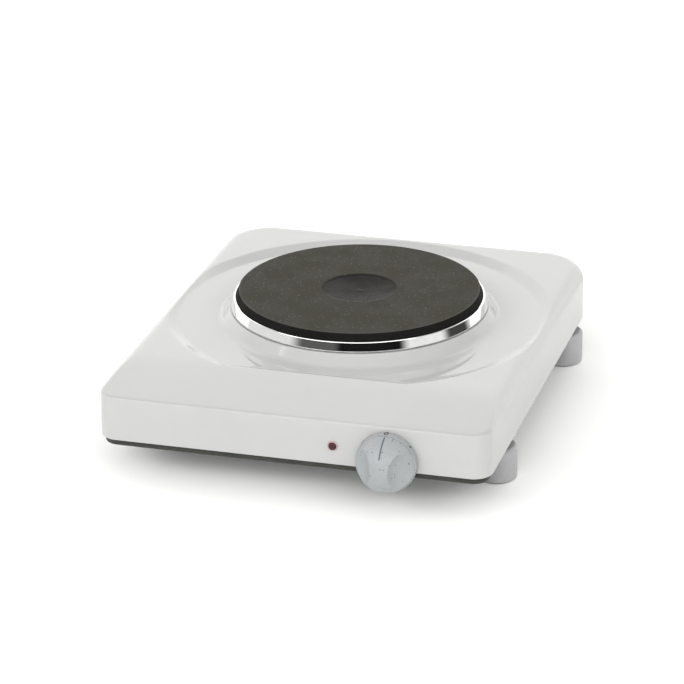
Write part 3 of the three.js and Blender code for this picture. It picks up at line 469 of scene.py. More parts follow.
@dataclass(frozen=True)
class SpunSteelFinish(Finish):
    """Bright pressed steel with faint polishing lines round an upright axis."""

    line_pitch: float = 0.00035

    def grain_height(self, bench: Bench, where: Any) -> Any:
        """Gives polishing lines with a little unevenness."""
        lines = use_group(bench, turning_group(), Vector=where, Pitch=self.line_pitch)
        waves = bench.node("ShaderNodeTexNoise", Vector=where, Scale=self.grain, Detail=1.0)
        return bench.maths("MULTIPLY_ADD", lines, 0.12, waves.outputs[0])


@dataclass(frozen=True)
class SpangledFinish(Finish):
    """Zinc-coated sheet with its crystal pattern."""

    crystal: float = 180.0

    def dress(self, bench: Bench, shader: bpy.types.Node, where: Any) -> None:
        """Gives each crystal its own tone and gloss.

        Args:
            bench: The material's bench.
            shader: The Principled shader.
            where: The pattern's coordinates.
        """
        cells = bench.node("ShaderNodeTexVoronoi", Vector=where, Scale=self.crystal)
        tone = bench.node("ShaderNodeSeparateColor", Color=cells.outputs["Color"]).outputs[0]
        cloud = use_group(bench, mottle_group(), Vector=where, Scale=self.mottle)
        both = bench.maths("MULTIPLY_ADD", tone, 0.55, bench.maths("MULTIPLY", cloud, 0.45))
        wear = use_group(bench, edge_wear_group(), Vector=where, Amount=0.4)
        colour = bench.blend(both, self.colour, self.tone)
        bench.feed(shader, "Base Color", bench.blend(wear, colour, (0.75, 0.76, 0.76)))
        bench.feed(shader, "Roughness", bench.spread(both, 0.0, 1.0, *self.rough))
        self.emboss(bench, shader, self.grain_height(bench, where))


@dataclass(frozen=True)
class LensFinish(Finish):
    """Slightly clear coloured plastic over a dark lamp."""

    see_through: float = 0.1

    def dress(self, bench: Bench, shader: bpy.types.Node, where: Any) -> None:
        """Makes the plastic partly clear.

        Args:
            bench: The material's bench.
            shader: The Principled shader.
            where: The pattern's coordinates.
        """
        super().dress(bench, shader, where)
        shader.inputs["Transmission Weight"].default_value = self.see_through


class Slot(Enum):
    """The record's material slots."""

    ENAMEL = "enamel"
    CAST_IRON = "cast_iron"
    STAINLESS = "stainless"
    ZINC = "zinc"
    KNOB = "knob_plastic"
    FOOT = "foot_plastic"
    RUBBER = "rubber"
    LENS = "red_lens"
    LAMP = "lamp_plastic"
    CERAMIC = "ceramic"
    DARK = "dark_plastic"
    CEMENT = "cement"
    BRASS = "brass"
    FIBRE = "fibre"
    LEAD = "lead"


def finishes(plate_axis: Vector) -> dict[Slot, Finish]:
    """Gives the finish of each slot.

    Args:
        plate_axis: The plate's axis in millimetres, which turned finishes are centred on.

    Returns:
        A finish for each slot.
    """
    axis = (plate_axis.x, plate_axis.y, 0.0)
    return {
        Slot.ENAMEL: Finish(
            "white_enamel", (0.482, 0.484, 0.48), (0.494, 0.495, 0.489), rough=(0.04, 0.07),
            mottle=14.0, grain=420.0, relief=0.0000008, ior=1.52,
        ),
        Slot.CAST_IRON: CastIronFinish(
            "coated_cast_iron", (0.02, 0.0185, 0.0105), (0.029, 0.027, 0.016), rough=(0.55, 0.66),
            mottle=45.0, grain=1300.0, relief=0.00006, ior=1.27, centre=axis,
        ),
        Slot.STAINLESS: SpunSteelFinish(
            "bright_trim_steel", (0.84, 0.84, 0.84), (0.78, 0.78, 0.785), rough=(0.03, 0.06),
            metallic=1.0, mottle=50.0, grain=90.0, relief=0.0000025, centre=axis,
        ),
        Slot.ZINC: SpangledFinish(
            "zinc_coated_steel", (0.42, 0.44, 0.42), (0.6, 0.61, 0.59), rough=(0.3, 0.48),
            metallic=0.9, mottle=30.0, grain=700.0, relief=0.000006,
        ),
        Slot.KNOB: SpeckledFinish(
            "blue_grey_knob_plastic", (0.32, 0.342, 0.35), (0.355, 0.372, 0.378), rough=(0.4, 0.52),
            mottle=70.0, grain=1500.0, relief=0.00003, speck_scale=520.0, speck_share=0.5,
            speck_depth=0.9, speck=(0.08, 0.085, 0.09),
        ),
        Slot.FOOT: SpeckledFinish(
            "grey_foot_plastic", (0.37, 0.372, 0.38), (0.42, 0.42, 0.43), rough=(0.42, 0.55),
            mottle=60.0, grain=1200.0, relief=0.00003, speck=(0.3, 0.3, 0.32),
            speck_share=0.15, speck_depth=0.35,
        ),
        Slot.RUBBER: Finish(
            "black_rubber", (0.014, 0.014, 0.014), (0.03, 0.03, 0.029), rough=(0.65, 0.85),
            mottle=80.0, grain=1500.0, relief=0.00004, dust=0.06,
        ),
        Slot.LENS: LensFinish(
            "red_lamp_plastic", (0.035, 0.002, 0.004), (0.05, 0.002, 0.006), rough=(0.3, 0.38),
            mottle=300.0, grain=500.0, relief=0.000002,
        ),
        Slot.LAMP: Finish(
            "pale_lamp_plastic", (0.5, 0.34, 0.345), (0.55, 0.39, 0.395), rough=(0.15, 0.25),
            mottle=200.0, grain=800.0, relief=0.000004,
        ),
        Slot.CERAMIC: Finish(
            "unglazed_ceramic", (0.68, 0.65, 0.57), (0.76, 0.73, 0.66), rough=(0.55, 0.7),
            mottle=120.0, grain=1600.0, relief=0.00003,
        ),
        Slot.DARK: Finish(
            "black_moulded_plastic", (0.02, 0.02, 0.022), (0.035, 0.035, 0.037),
            rough=(0.4, 0.55), mottle=90.0, grain=1400.0, relief=0.00002,
        ),
        Slot.CEMENT: Finish(
            "coil_cement", (0.25, 0.235, 0.21), (0.36, 0.34, 0.3), rough=(0.85, 0.95),
            mottle=200.0, grain=1100.0, relief=0.00012,
        ),
        Slot.BRASS: Finish(
            "bare_brass", (0.56, 0.42, 0.18), (0.66, 0.5, 0.24), rough=(0.25, 0.4),
            metallic=1.0, mottle=120.0, grain=900.0, relief=0.000006,
        ),
        Slot.FIBRE: Finish(
            "pressed_fibre", (0.4, 0.37, 0.31), (0.5, 0.47, 0.4), rough=(0.85, 0.95),
            mottle=250.0, grain=1400.0, relief=0.00008,
        ),
        Slot.LEAD: Finish(
            "lead_sleeve", (0.22, 0.06, 0.045), (0.28, 0.085, 0.06), rough=(0.5, 0.65),
            mottle=150.0, grain=1500.0, relief=0.00002,
        ),
    }


PRINT_FINISH = Finish(
    "dark_dial_print", (0.012, 0.013, 0.014), (0.022, 0.023, 0.025), rough=(0.45, 0.6),
    mottle=300.0, grain=1800.0, relief=0.00001,
)
# Painted shade: the base pan's steel is darkened to near black to stand for the shade under the
# casing.
PAN_SHADE_FINISH = Finish(
    "base_steel_painted_shade", (0.035, 0.038, 0.032), (0.055, 0.058, 0.049), rough=(0.42, 0.58),
    metallic=0.5, mottle=90.0, grain=900.0, relief=0.000008,
)
GROOVE_FINISH = Finish(
    "grey_pointer_print", (0.085, 0.11, 0.13), (0.11, 0.135, 0.155), rough=(0.5, 0.6),
    mottle=300.0, grain=1800.0, relief=0.00001,
)


# ---------------------------------------------------------------------------- meshes


class Facing(Enum):
    """Which way a piece that is made upright points in the end."""

    UP = 0.0
    DOWN = math.pi
    FRONT = math.pi / 2.0
    BACK = -math.pi / 2.0

    def matrix(self, place: Vector) -> Matrix:
        """Gives the turn, then the move to a place in millimetres, and the change to metres."""
        turn = Matrix.Rotation(self.value, 4, "X")
        return Matrix.Scale(MM, 4) @ Matrix.Translation(place) @ turn


def rounded(corners: Sequence[Corner], looped: bool = True, steps: int = 6) -> list[Point]:
    """Rounds the corners of an outline.

    Args:
        corners: Radius, height and rounding of each corner.
        looped: Whether the last corner joins the first.
        steps: Segments in each rounding.

    Returns:
        Points of the outline, with a close point each side of every rounding.
    """
    points: list[Point] = []
    count = len(corners)
    for place, (radius, height, rounding) in enumerate(corners):
        inner = looped or 0 < place < count - 1
        if rounding <= 0.0 or not inner:
            points.append((radius, height))
            continue
        here = Vector((radius, height))
        before = Vector(corners[place - 1][:2]) - here
        after = Vector(corners[(place + 1) % count][:2]) - here
        room = 0.48 * min(before.length, after.length)
        first, last = before.normalized(), after.normalized()
        half = first.angle(last) / 2.0
        reach = min(rounding / math.tan(half), room)
        true_round = reach * math.tan(half)
        middle = here + (first + last).normalized() * (true_round / math.sin(half))
        guard = min(0.2, 0.2 * reach)
        start, end = here + first * reach, here + last * reach
        points.append(tuple(here + first * (reach + guard)))
        spoke_start, spoke_end = start - middle, end - middle
        for step in range(steps + 1):
            share = step / steps
            spoke = spoke_start.lerp(spoke_end, share).normalized() * true_round
            points.append(tuple(middle + spoke))
        points.append(tuple(here + last * (reach + guard)))
    return points


def to_piece(mesh: bmesh.types.BMesh, name: str, sharp: float = 32.0) -> bpy.types.Object:
    """Makes an object from a finished bmesh, smooth apart from its sharp edges.

    Args:
        mesh: The bmesh in metres, which is freed.
        name: The piece's name.
        sharp: The smallest angle, in degrees, that stays a sharp edge.

    Returns:
        The new object.
    """
    data = bpy.data.meshes.new(name)
    mesh.to_mesh(data)
    mesh.free()
    data.shade_smooth()
    data.set_sharp_from_angle(angle=math.radians(sharp))
    made = bpy.data.objects.new(name, data)
    bpy.context.scene.collection.objects.link(made)
    return made


def spun(profile: Sequence[Point], steps: int, looped: bool = True) -> bmesh.types.BMesh:
    """Spins a side outline once round the upright axis.

    Args:
        profile: Radius and height of each point, in millimetres.
        steps: Segments in the turn.
        looped: Whether the outline is closed.

    Returns:
        The bmesh in millimetres.
    """
    mesh = bmesh.new()
    verts = [mesh.verts.new((radius, 0.0, height)) for radius, height in profile]
    pairs = list(zip(verts, verts[1:])) + ([(verts[-1], verts[0])] if looped else [])
    for one, other in pairs:
        if (one.co - other.co).length > 1e-6:
            mesh.edges.new((one, other))
    bmesh.ops.spin(
        mesh, geom=verts + mesh.edges[:], cent=(0, 0, 0), axis=(0, 0, 1), dvec=(0, 0, 0),
        angle=2.0 * math.pi, steps=steps, use_merge=True, use_duplicate=False,
    )
    bmesh.ops.remove_doubles(mesh, verts=mesh.verts[:], dist=1e-4)
    bmesh.ops.dissolve_degenerate(mesh, dist=1e-5, edges=mesh.edges[:])
    bmesh.ops.recalc_face_normals(mesh, faces=mesh.faces[:])
    return mesh


def placed(
    mesh: bmesh.types.BMesh, name: str, place: Vector, facing: Facing, sharp: float = 32.0
) -> bpy.types.Object:
    """Turns and moves a bmesh into place and makes it a piece.

    Args:
        mesh: The bmesh in millimetres, which is freed.
        name: The piece's name.
        place: Where the bmesh's origin goes, in millimetres.
        facing: Which way its upright axis points.
        sharp: The smallest angle, in degrees, that stays a sharp edge.

    Returns:
        The new object.
    """
    bmesh.ops.transform(mesh, matrix=facing.matrix(place), verts=mesh.verts[:])
    return to_piece(mesh, name, sharp)


def turned(
    name: str, corners: Sequence[Corner], place: Vector, facing: Facing = Facing.UP,
    steps: int = 96, sharp: float = 32.0,
) -> bpy.types.Object:
    """Makes a turned piece from a closed side outline with rounded corners.

    Args:
        name: The piece's name.
        corners: Radius, height and rounding of each corner, in millimetres.
        place: Where the outline's origin goes, in millimetres.
        facing: Which way the axis points.
        steps: Segments round the axis.
        sharp: The smallest angle, in degrees, that stays a sharp edge.

    Returns:
        The new object.
    """
    return placed(spun(rounded(corners), steps), name, place, facing, sharp)


def dress_piece(
    piece: bpy.types.Object, finish: Finish, body: str, slot: Slot, *nodes: str
) -> bpy.types.Object:
    """Gives a piece its material and body, and hides the CAD nodes that it stands for.

    Args:
        piece: The piece.
        finish: Its finish.
        body: The CAD body that it rides on.
        slot: The record's slot; not used.
        *nodes: CAD nodes that it stands for.

    Returns:
        The same piece.
    """
    piece.data.materials.clear()
    piece.data.materials.append(finish.material())
    if nodes:
        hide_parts(*nodes)
    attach(piece, body)
    LOG.info("%s: %d faces on %s", piece.name, len(piece.data.polygons), body)
    return piece


def soft_lower(one: np.ndarray, other: np.ndarray, reach: float | np.ndarray) -> np.ndarray:
    """The lower of two heights, rounded where they cross."""
    near = np.maximum(reach - np.abs(one - other), 0.0) / reach
    return np.minimum(one, other) - near * near * reach / 4.0


def node_box(name: str) -> tuple[Vector, Vector]:
    """A CAD node's lowest and highest corner in millimetres."""
    low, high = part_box(name)
    return low / MM, high / MM


def axis_at(low: Vector, high: Vector, height: float) -> Vector:
    """The middle of a box seen from above, at a height."""
    return Vector(((low.x + high.x) / 2.0, (low.y + high.y) / 2.0, height))


def cut_across(mesh: bmesh.types.BMesh, place: Sequence[float], normal: Sequence[float]) -> None:
    """Cuts every face that a plane crosses."""
    every = mesh.verts[:] + mesh.edges[:] + mesh.faces[:]
    bmesh.ops.bisect_plane(mesh, geom=every, dist=1e-5, plane_co=place, plane_no=normal)


def new_verts(grown: Sequence[Any]) -> list[bmesh.types.BMVert]:
    """The vertices among what an operator made."""
    return [item for item in grown if isinstance(item, bmesh.types.BMVert)]


@dataclass(frozen=True)
class Layout:
    """Places taken from the CAD frame, in millimetres."""

    casing_low: Vector
    casing_high: Vector
    plate_axis: Vector
    plate_radius: float
    plate_top: float
    knob: Vector
    knob_radius: float
    knob_crown: float
    lamp: Vector
    gland: Vector

    @classmethod
    def from_frame(cls) -> "Layout":
        """Reads the places from the nodes' boxes."""
        casing_low, casing_high = node_box("body_shell")
        plate_low, plate_high = node_box("hotplate")
        knob_low, knob_high = node_box("knob")
        dial_low, dial_high = node_box("dial_ring")
        lamp_low, lamp_high = node_box("lamp_body")
        gland_low, gland_high = node_box("cord_gland")
        plate, knob = (plate_low + plate_high) / 2.0, (dial_low + dial_high) / 2.0
        lamp, gland = (lamp_low + lamp_high) / 2.0, (gland_low + gland_high) / 2.0
        return cls(
            casing_low=casing_low,
            casing_high=casing_high,
            plate_axis=Vector((plate.x, plate.y, 0.0)),
            plate_radius=(plate_high.x - plate_low.x) / 2.0,
            plate_top=plate_high.z,
            knob=Vector((knob.x, casing_low.y, knob.z)),
            knob_radius=(dial_high.x - dial_low.x) / 2.0,
            knob_crown=casing_low.y - knob_low.y,
            lamp=Vector((lamp.x, casing_low.y, lamp.z)),
            gland=Vector((gland.x, casing_high.y, gland.z)),
        )


# ---------------------------------------------------------------------------- casing


@dataclass(frozen=True)
class PlanOutline:
    """The casing's outline seen from above, about the plate's axis, in millimetres."""

    left: float
    right: float
    front: float
    back: float
    front_corner: float = 14.0
    rear_corner: float = 35.0

    def columns(self) -> tuple[np.ndarray, np.ndarray]:
        """Walks round the outline against the clock.

        Returns:
            The points and their inward normals, an (n, 2) array each.
        """
        points: list[Point] = []
        normals: list[Point] = []

        def run(start: Point, end: Point, inward: Point, count: int) -> None:
            """Adds a straight stretch without its last point."""
            for step in range(count):
                share = step / count
                x = start[0] + (end[0] - start[0]) * share
                y = start[1] + (end[1] - start[1]) * share
                points.append((x, y))
                normals.append(inward)

        def bend(x: float, y: float, radius: float, start: float, count: int) -> None:
            """Adds a quarter bend without its last point."""
            for step in range(count):
                angle = math.radians(start + 90.0 * step / count)
                cos, sin = math.cos(angle), math.sin(angle)
                points.append((x + radius * cos, y + radius * sin))
                normals.append((-cos, -sin))

        near, far = self.front_corner, self.rear_corner
        left, right, front, back = self.left, self.right, self.front, self.back
        run((left + near, front), (right - near, front), (0.0, 1.0), 72)
        bend(right - near, front + near, near, -90.0, 16)
        run((right, front + near), (right, back - far), (-1.0, 0.0), 78)
        bend(right - far, back - far, far, 0.0, 20)
        run((right - far, back), (left + far, back), (0.0, -1.0), 58)
        bend(left + far, back - far, far, 90.0, 20)
        run((left, back - far), (left, front + near), (1.0, 0.0), 78)
        bend(left + near, front + near, near, 180.0, 16)
        return np.array(points), np.array(normals)


@dataclass(frozen=True)
class Casing:
    """The pressed and enamelled casing, with its ramp, round relief and raised seat."""

    layout: Layout
    top: float = 71.0
    sheet: float = 1.2
    shoulder: float = 12.0
    crease: float = 62.0
    ramp_run: float = 56.0
    relief_floor: float = 67.0
    relief_radius: float = 142.5
    relief_wall: float = 9.5
    hole_radius: float = 84.0
    seat_radius: float = 95.0
    seat_foot: float = 101.5
    seat_fillet: float = 9.5
    path_start: float = 106.5
    lip_round: float = 0.7
    softness: float = 0.95
    ramp_soft: float = 1.3
    hip_soft: tuple[float, float] = (0.25, 1.6)
    hip_start: float = 105.0
    hip_run: float = 28.0
    step: float = 0.3
    rings: int = 74

    def outline(self) -> PlanOutline:
        """The casing's outline about the plate's axis."""
        axis, low, high = self.layout.plate_axis, self.layout.casing_low, self.layout.casing_high
        return PlanOutline(low.x - axis.x, high.x - axis.x, low.y - axis.y, high.y - axis.y)

    def height(self, x: np.ndarray, y: np.ndarray, inset: np.ndarray) -> np.ndarray:
        """Height of the outer surface outside the raised seat.

        Args:
            x: Places across, from the plate's axis.
            y: Places back, from the plate's axis.
            inset: Distance in from the outline, no less than 0.

        Returns:
            The heights above the floor.
        """
        arc = np.clip(self.shoulder - inset, 0.0, self.shoulder)
        shoulder = self.top - self.shoulder + np.sqrt(self.shoulder**2 - arc**2)
        ramp_y = self.outline().front + self.ramp_run
        ramp = self.top + (y - ramp_y) * (self.top - self.crease) / self.ramp_run
        rise = (self.top - self.relief_floor) / self.relief_wall
        wall = self.top + (np.hypot(x, y) - self.relief_radius) * rise
        front_wall = self.top + (ramp_y - y) * rise
        relief = np.maximum(np.maximum(wall, front_wall), self.relief_floor)
        pressed = soft_lower(np.full_like(ramp, self.top), ramp, self.ramp_soft)
        beside = np.clip((np.abs(x) - self.hip_start) / self.hip_run, 0.0, 1.0)
        hip = self.hip_soft[0] + (self.hip_soft[1] - self.hip_soft[0]) * beside
        return np.minimum(soft_lower(shoulder, pressed, hip), relief)

    def section(self, point: np.ndarray, inward: np.ndarray) -> np.ndarray:
        """One section of the surface, from beside the raised seat to the rim.

        Args:
            point: The outline's point.
            inward: The inward normal there.

        Returns:
            Points of the section, softened, as an (n, 3) array with even steps.
        """
        start = point / np.linalg.norm(point) * self.path_start
        middle = point + inward * self.shoulder
        share = np.linspace(0.0, 1.0, 320, endpoint=False)[:, None]
        flat = start * (1.0 - share) + middle * share
        turn = np.linspace(0.0, math.pi / 2.0, 90)
        inset = self.shoulder * (1.0 - np.sin(turn))
        bent = point + inward * inset[:, None]
        plan = np.vstack([flat, bent])
        insets = np.concatenate([np.full(len(flat), self.shoulder), inset])
        height = self.height(plan[:, 0], plan[:, 1], insets)
        rim = self.layout.casing_low.z
        drop = np.linspace(height[-1], rim + self.lip_round, 110)[1:]
        curl = np.linspace(0.0, math.pi / 2.0, 6)[1:]
        curl_in = self.lip_round * (1.0 - np.cos(curl))
        lip = point + inward * curl_in[:, None]
        path = np.vstack([
            np.column_stack([plan, height]),
            np.column_stack([np.repeat(point[None], len(drop), 0), drop]),
        ])
        path = self.soften(path)
        lip_z = rim + self.lip_round * (1.0 - np.sin(curl))
        return np.vstack([path, np.column_stack([lip, lip_z])])

    def soften(self, path: np.ndarray) -> np.ndarray:
        """Steps evenly along a path and rounds its corners.

        Args:
            path: Points of the path.

        Returns:
            The evenly stepped and rounded path, with its ends kept.
        """
        length = np.concatenate([[0.0], np.cumsum(np.linalg.norm(np.diff(path, axis=0), axis=1))])
        even = np.linspace(0.0, length[-1], max(int(length[-1] / self.step), 8))
        stepped = np.column_stack([np.interp(even, length, path[:, i]) for i in range(3)])
        reach = int(3.0 * self.softness / self.step)
        weights = np.exp(-0.5 * (np.arange(-reach, reach + 1) * self.step / self.softness) ** 2)
        weights /= weights.sum()
        head = 2.0 * stepped[0] - stepped[reach:0:-1]
        tail = 2.0 * stepped[-1] - stepped[-2:-reach - 2:-1]
        padded = np.vstack([head, stepped, tail])
        return np.column_stack([np.convolve(padded[:, i], weights, "valid") for i in range(3)])

    def ringed(self, path: np.ndarray) -> np.ndarray:
        """Picks the ring points of a section, closer together where it bends.

        Args:
            path: The section's points.

        Returns:
            One point for each ring.
        """
        steps = np.diff(path, axis=0)
        lengths = np.linalg.norm(steps, axis=1)
        ways = steps / lengths[:, None]
        bends = np.linalg.norm(np.diff(ways, axis=0), axis=1)
        bends = np.concatenate([[0.0], bends, [0.0]])
        spread = np.ones(9) / 9.0
        bends = np.convolve(np.pad(bends, 4, mode="edge"), spread, "valid")[: len(path)]
        weight = np.concatenate([[0.0], np.cumsum(lengths / 4.5 + bends[1:] / 0.075)])
        places = np.linspace(0.0, weight[-1], self.rings)
        return np.column_stack([np.interp(places, weight, path[:, i]) for i in range(3)])

    def seat_rings(self, point: np.ndarray) -> np.ndarray:
        """Ring points of the raised seat, from the opening to its foot.

        Args:
            point: The outline's point, which gives the direction.

        Returns:
            One point for each ring.
        """
        high = self.layout.casing_high.z
        floor = self.relief_floor
        profile = rounded([
            (self.hole_radius, high, 0.0), (90.0, high, 0.0), (self.seat_radius, high, 1.1),
            (self.seat_foot, floor, self.seat_fillet), (self.path_start + 0.6, floor, 0.0),
        ], looped=False, steps=8)[:-1]
        way = point / np.linalg.norm(point)
        return np.array([(way[0] * r, way[1] * r, z) for r, z in profile])

    def build(self) -> bpy.types.Object:
        """Spins a flat fan of rings and lays it on the casing's surface."""
        points, normals = self.outline().columns()
        table = [
            np.vstack([self.seat_rings(p), self.ringed(self.section(p, n))])
            for p, n in zip(points, normals)
        ]
        ring_count, column_count = len(table[0]), len(table)
        mesh = spun([(1.0 + ring, 0.0) for ring in range(ring_count)], column_count, looped=False)
        axis = np.array(self.layout.plate_axis)
        for vert in mesh.verts:
            ring = round(math.hypot(vert.co.x, vert.co.y) - 1.0)
            turn = math.atan2(vert.co.y, vert.co.x) / (2.0 * math.pi)
            column = round(turn * column_count) % column_count
            vert.co = (table[column][ring] + axis) * MM
        mesh.normal_update()
        if sum(face.normal.z for face in mesh.faces) < 0.0:
            bmesh.ops.reverse_faces(mesh, faces=mesh.faces[:])
        piece = to_piece(mesh, "enamel_casing", sharp=60.0)
        wall = piece.modifiers.new("sheet", "SOLIDIFY")
        wall.thickness = self.sheet * MM
        wall.offset = -1.0
        wall.use_even_offset = True
        return piece


# ---------------------------------------------------------------------------- base pan


@dataclass(frozen=True)
class BasePan:
    """The zinc-coated tray that closes the casing from below, with its vents."""

    layout: Layout
    inset: float = 2.5
    sheet: float = 1.0
    bottom_round: float = 1.6
    vent_count: int = 6
    vent_pitch: float = 14.0
    vent_width: float = 4.0
    vent_length: float = 44.0
    vent_x: float = 55.0
    vent_band: float = 60.0
    bend_turns: tuple[float, ...] = (0.4, 0.8, 1.2, math.pi / 2.0)
    flat_area: float = 500.0

    def build(self) -> bpy.types.Object:
        """Cuts the vents into a flat sheet and turns its edge up."""
        low, high = node_box("base_pan")
        axis = self.layout.plate_axis
        outline = PlanOutline(
            low.x - axis.x, high.x - axis.x, low.y - axis.y, high.y - axis.y,
            front_corner=PlanOutline.front_corner - self.inset,
            rear_corner=PlanOutline.rear_corner - self.inset,
        )
        points, normals = outline.columns()
        mesh = bmesh.new()
        floor = points + normals * self.bottom_round
        mesh.faces.new([mesh.verts.new((*point, 0.0)) for point in floor])
        half, narrow = self.vent_length / 2.0, self.vent_width / 2.0
        rows = [(i - (self.vent_count - 1) / 2.0) * self.vent_pitch for i in range(self.vent_count)]
        across = [side * self.vent_x + end for side in (-1, 1) for end in (-half, half)]
        along = [row + end for row in rows for end in (-narrow, narrow)]
        for place in across:
            cut_across(mesh, (place, 0.0, 0.0), (1.0, 0.0, 0.0))
        for place in along:
            cut_across(mesh, (0.0, place, 0.0), (0.0, 1.0, 0.0))
        vents = [face for face in mesh.faces if self.in_vent(face.calc_center_median(), rows)]
        bmesh.ops.delete(mesh, geom=vents, context="FACES")
        self.turn_up(mesh, outline, high.z - low.z)
        mesh.normal_update()
        bmesh.ops.recalc_face_normals(mesh, faces=mesh.faces[:])
        flat = next(face for face in mesh.faces if face.calc_area() > self.flat_area)
        if flat.normal.z > 0.0:
            bmesh.ops.reverse_faces(mesh, faces=mesh.faces[:])
        place = Matrix.Scale(MM, 4) @ Matrix.Translation((axis.x, axis.y, low.z))
        bmesh.ops.transform(mesh, matrix=place, verts=mesh.verts[:])
        piece = to_piece(mesh, "zinc_base_pan", sharp=50.0)
        wall = piece.modifiers.new("sheet", "SOLIDIFY")
        wall.thickness = self.sheet * MM
        wall.offset = -1.0
        return piece

    def in_vent(self, middle: Vector, rows: Sequence[float]) -> bool:
        """Tells whether a face of the sheet lies in a vent."""
        beside = abs(abs(middle.x) - self.vent_x) < self.vent_length / 2.0
        return beside and any(abs(middle.y - row) < self.vent_width / 2.0 for row in rows)

    def turn_up(self, mesh: bmesh.types.BMesh, outline: PlanOutline, height: float) -> None:
        """Raises the outer edge in a small rounding and a wall.

        Args:
            mesh: The sheet.
            outline: The pan's outline.
            height: The wall's height.
        """
        bend = self.bottom_round
        stages = [(bend * math.sin(a), bend * (1.0 - math.cos(a))) for a in self.bend_turns]
        stages.append((bend, height))
        edges = [edge for edge in mesh.edges if edge.is_boundary and self.is_outer(edge)]
        out_before, up_before = 0.0, 0.0
        for out, up in stages:
            grown = bmesh.ops.extrude_edge_only(mesh, edges=edges)["geom"]
            verts = new_verts(grown)
            edges = [item for item in grown if isinstance(item, bmesh.types.BMEdge)]
            for vert in verts:
                outward = self.outward(vert.co, outline)
                vert.co += Vector((outward.x, outward.y, 0.0)) * (out - out_before)
                vert.co.z += up - up_before
            out_before, up_before = out, up

    def is_outer(self, edge: bmesh.types.BMEdge) -> bool:
        """Tells whether a border edge belongs to the outline, not to a vent."""
        middle = (edge.verts[0].co + edge.verts[1].co) / 2.0
        beside = abs(middle.x) > self.vent_x + self.vent_length
        return beside or abs(middle.y) >= self.vent_band

    def outward(self, point: Vector, outline: PlanOutline) -> Vector:
        """The outward direction of the outline nearest to a point."""
        corner = outline.rear_corner if point.y > 0.0 else outline.front_corner
        wide = outline.right - corner
        deep = (outline.back - corner) if point.y > 0.0 else (-outline.front - corner)
        across = max(abs(point.x) - wide, 0.0) * math.copysign(1.0, point.x)
        along = max(abs(point.y) - deep, 0.0) * math.copysign(1.0, point.y)
        return Vector((across, along)).normalized()


# ---------------------------------------------------------------------------- plate and ring


@dataclass(frozen=True)
class CastPlate:
    """The cast-iron plate with its flared side and shallow dished middle."""

    layout: Layout
    top_radius: float = 88.2
    flare: float = 5.0
    skirt: float = 11.4
    dish_radius: float = 27.6
    dish_depth: float = 2.6
    dish_lip: tuple[float, float] = (1.0, 0.6)
    nub: tuple[float, float] = (2.0, 0.35)
    nub_edge: float = 0.8
    dish_steps: int = 12
    rebate: tuple[float, float] = (5.0, 3.0)

    def dish(self) -> list[Corner]:
        """Side outline of the dished middle, from the axis to the lip's foot."""
        foot = self.dish_radius - self.dish_lip[0]
        bowl = self.dish_depth - self.dish_lip[1]
        nub_radius, nub_height = self.nub
        points: list[Corner] = [
            (0.0, nub_height - self.dish_depth, 0.0),
            (nub_radius * 0.6, nub_height * 0.9 - self.dish_depth, 0.0),
            (nub_radius, nub_height * 0.3 - self.dish_depth, 0.0),
        ]
        start = nub_radius + self.nub_edge
        for step in range(1, self.dish_steps + 1):
            radius = start + (foot - start) * step / self.dish_steps
            points.append((radius, -self.dish_depth + bowl * (radius / foot) ** 2, 0.0))
        return points

    def build(self) -> bpy.types.Object:
        """Turns the plate."""
        outer, back = self.layout.plate_radius, -self.skirt
        wall, deep = self.rebate
        corners = [
            *self.dish(),
            (self.dish_radius - self.dish_lip[0] * 0.3, -self.dish_lip[1] * 0.3, 0.3),
            (self.dish_radius + 0.4, 0.0, 0.5),
            (self.top_radius, 0.0, 1.3),
            (outer, -self.flare, 1.0),
            (outer, back, 0.6),
            (outer - wall, back, 0.4),
            (outer - wall, back + deep, 0.4),
            (0.0, back + deep, 0.0),
        ]
        place = self.layout.plate_axis + Vector((0.0, 0.0, self.layout.plate_top))
        return turned("cast_iron_plate", corners, place, steps=256)


@dataclass(frozen=True)
class TrimRing:
    """The bright steel ring between the plate and the casing's seat."""

    layout: Layout
    foot_radius: float = 94.0
    lip_radius: float = 91.8
    sheet: float = 0.8
    play: float = 0.3
    hole_radius: float = 84.0

    def build(self) -> bpy.types.Object:
        """Turns the ring."""
        low, high = node_box("trim_ring")
        tall = high.z - low.z
        inner = self.layout.plate_radius + self.play
        corners = [
            (self.hole_radius, 0.0, 0.0),
            (self.foot_radius, 0.0, 0.25),
            (self.foot_radius, self.sheet, 0.3),
            (self.lip_radius, tall, 0.85),
            (inner, tall, 0.25),
            (inner, tall - 0.6, 0.0),
            (self.lip_radius - self.sheet, tall - 1.2, 0.2),
            (self.foot_radius - self.sheet - 0.2, self.sheet, 0.2),
            (self.hole_radius, self.sheet, 0.0),
        ]
        place = self.layout.plate_axis + Vector((0.0, 0.0, low.z))
        return turned("bright_trim_ring", corners, place, steps=288)


# ---------------------------------------------------------------------------- knob


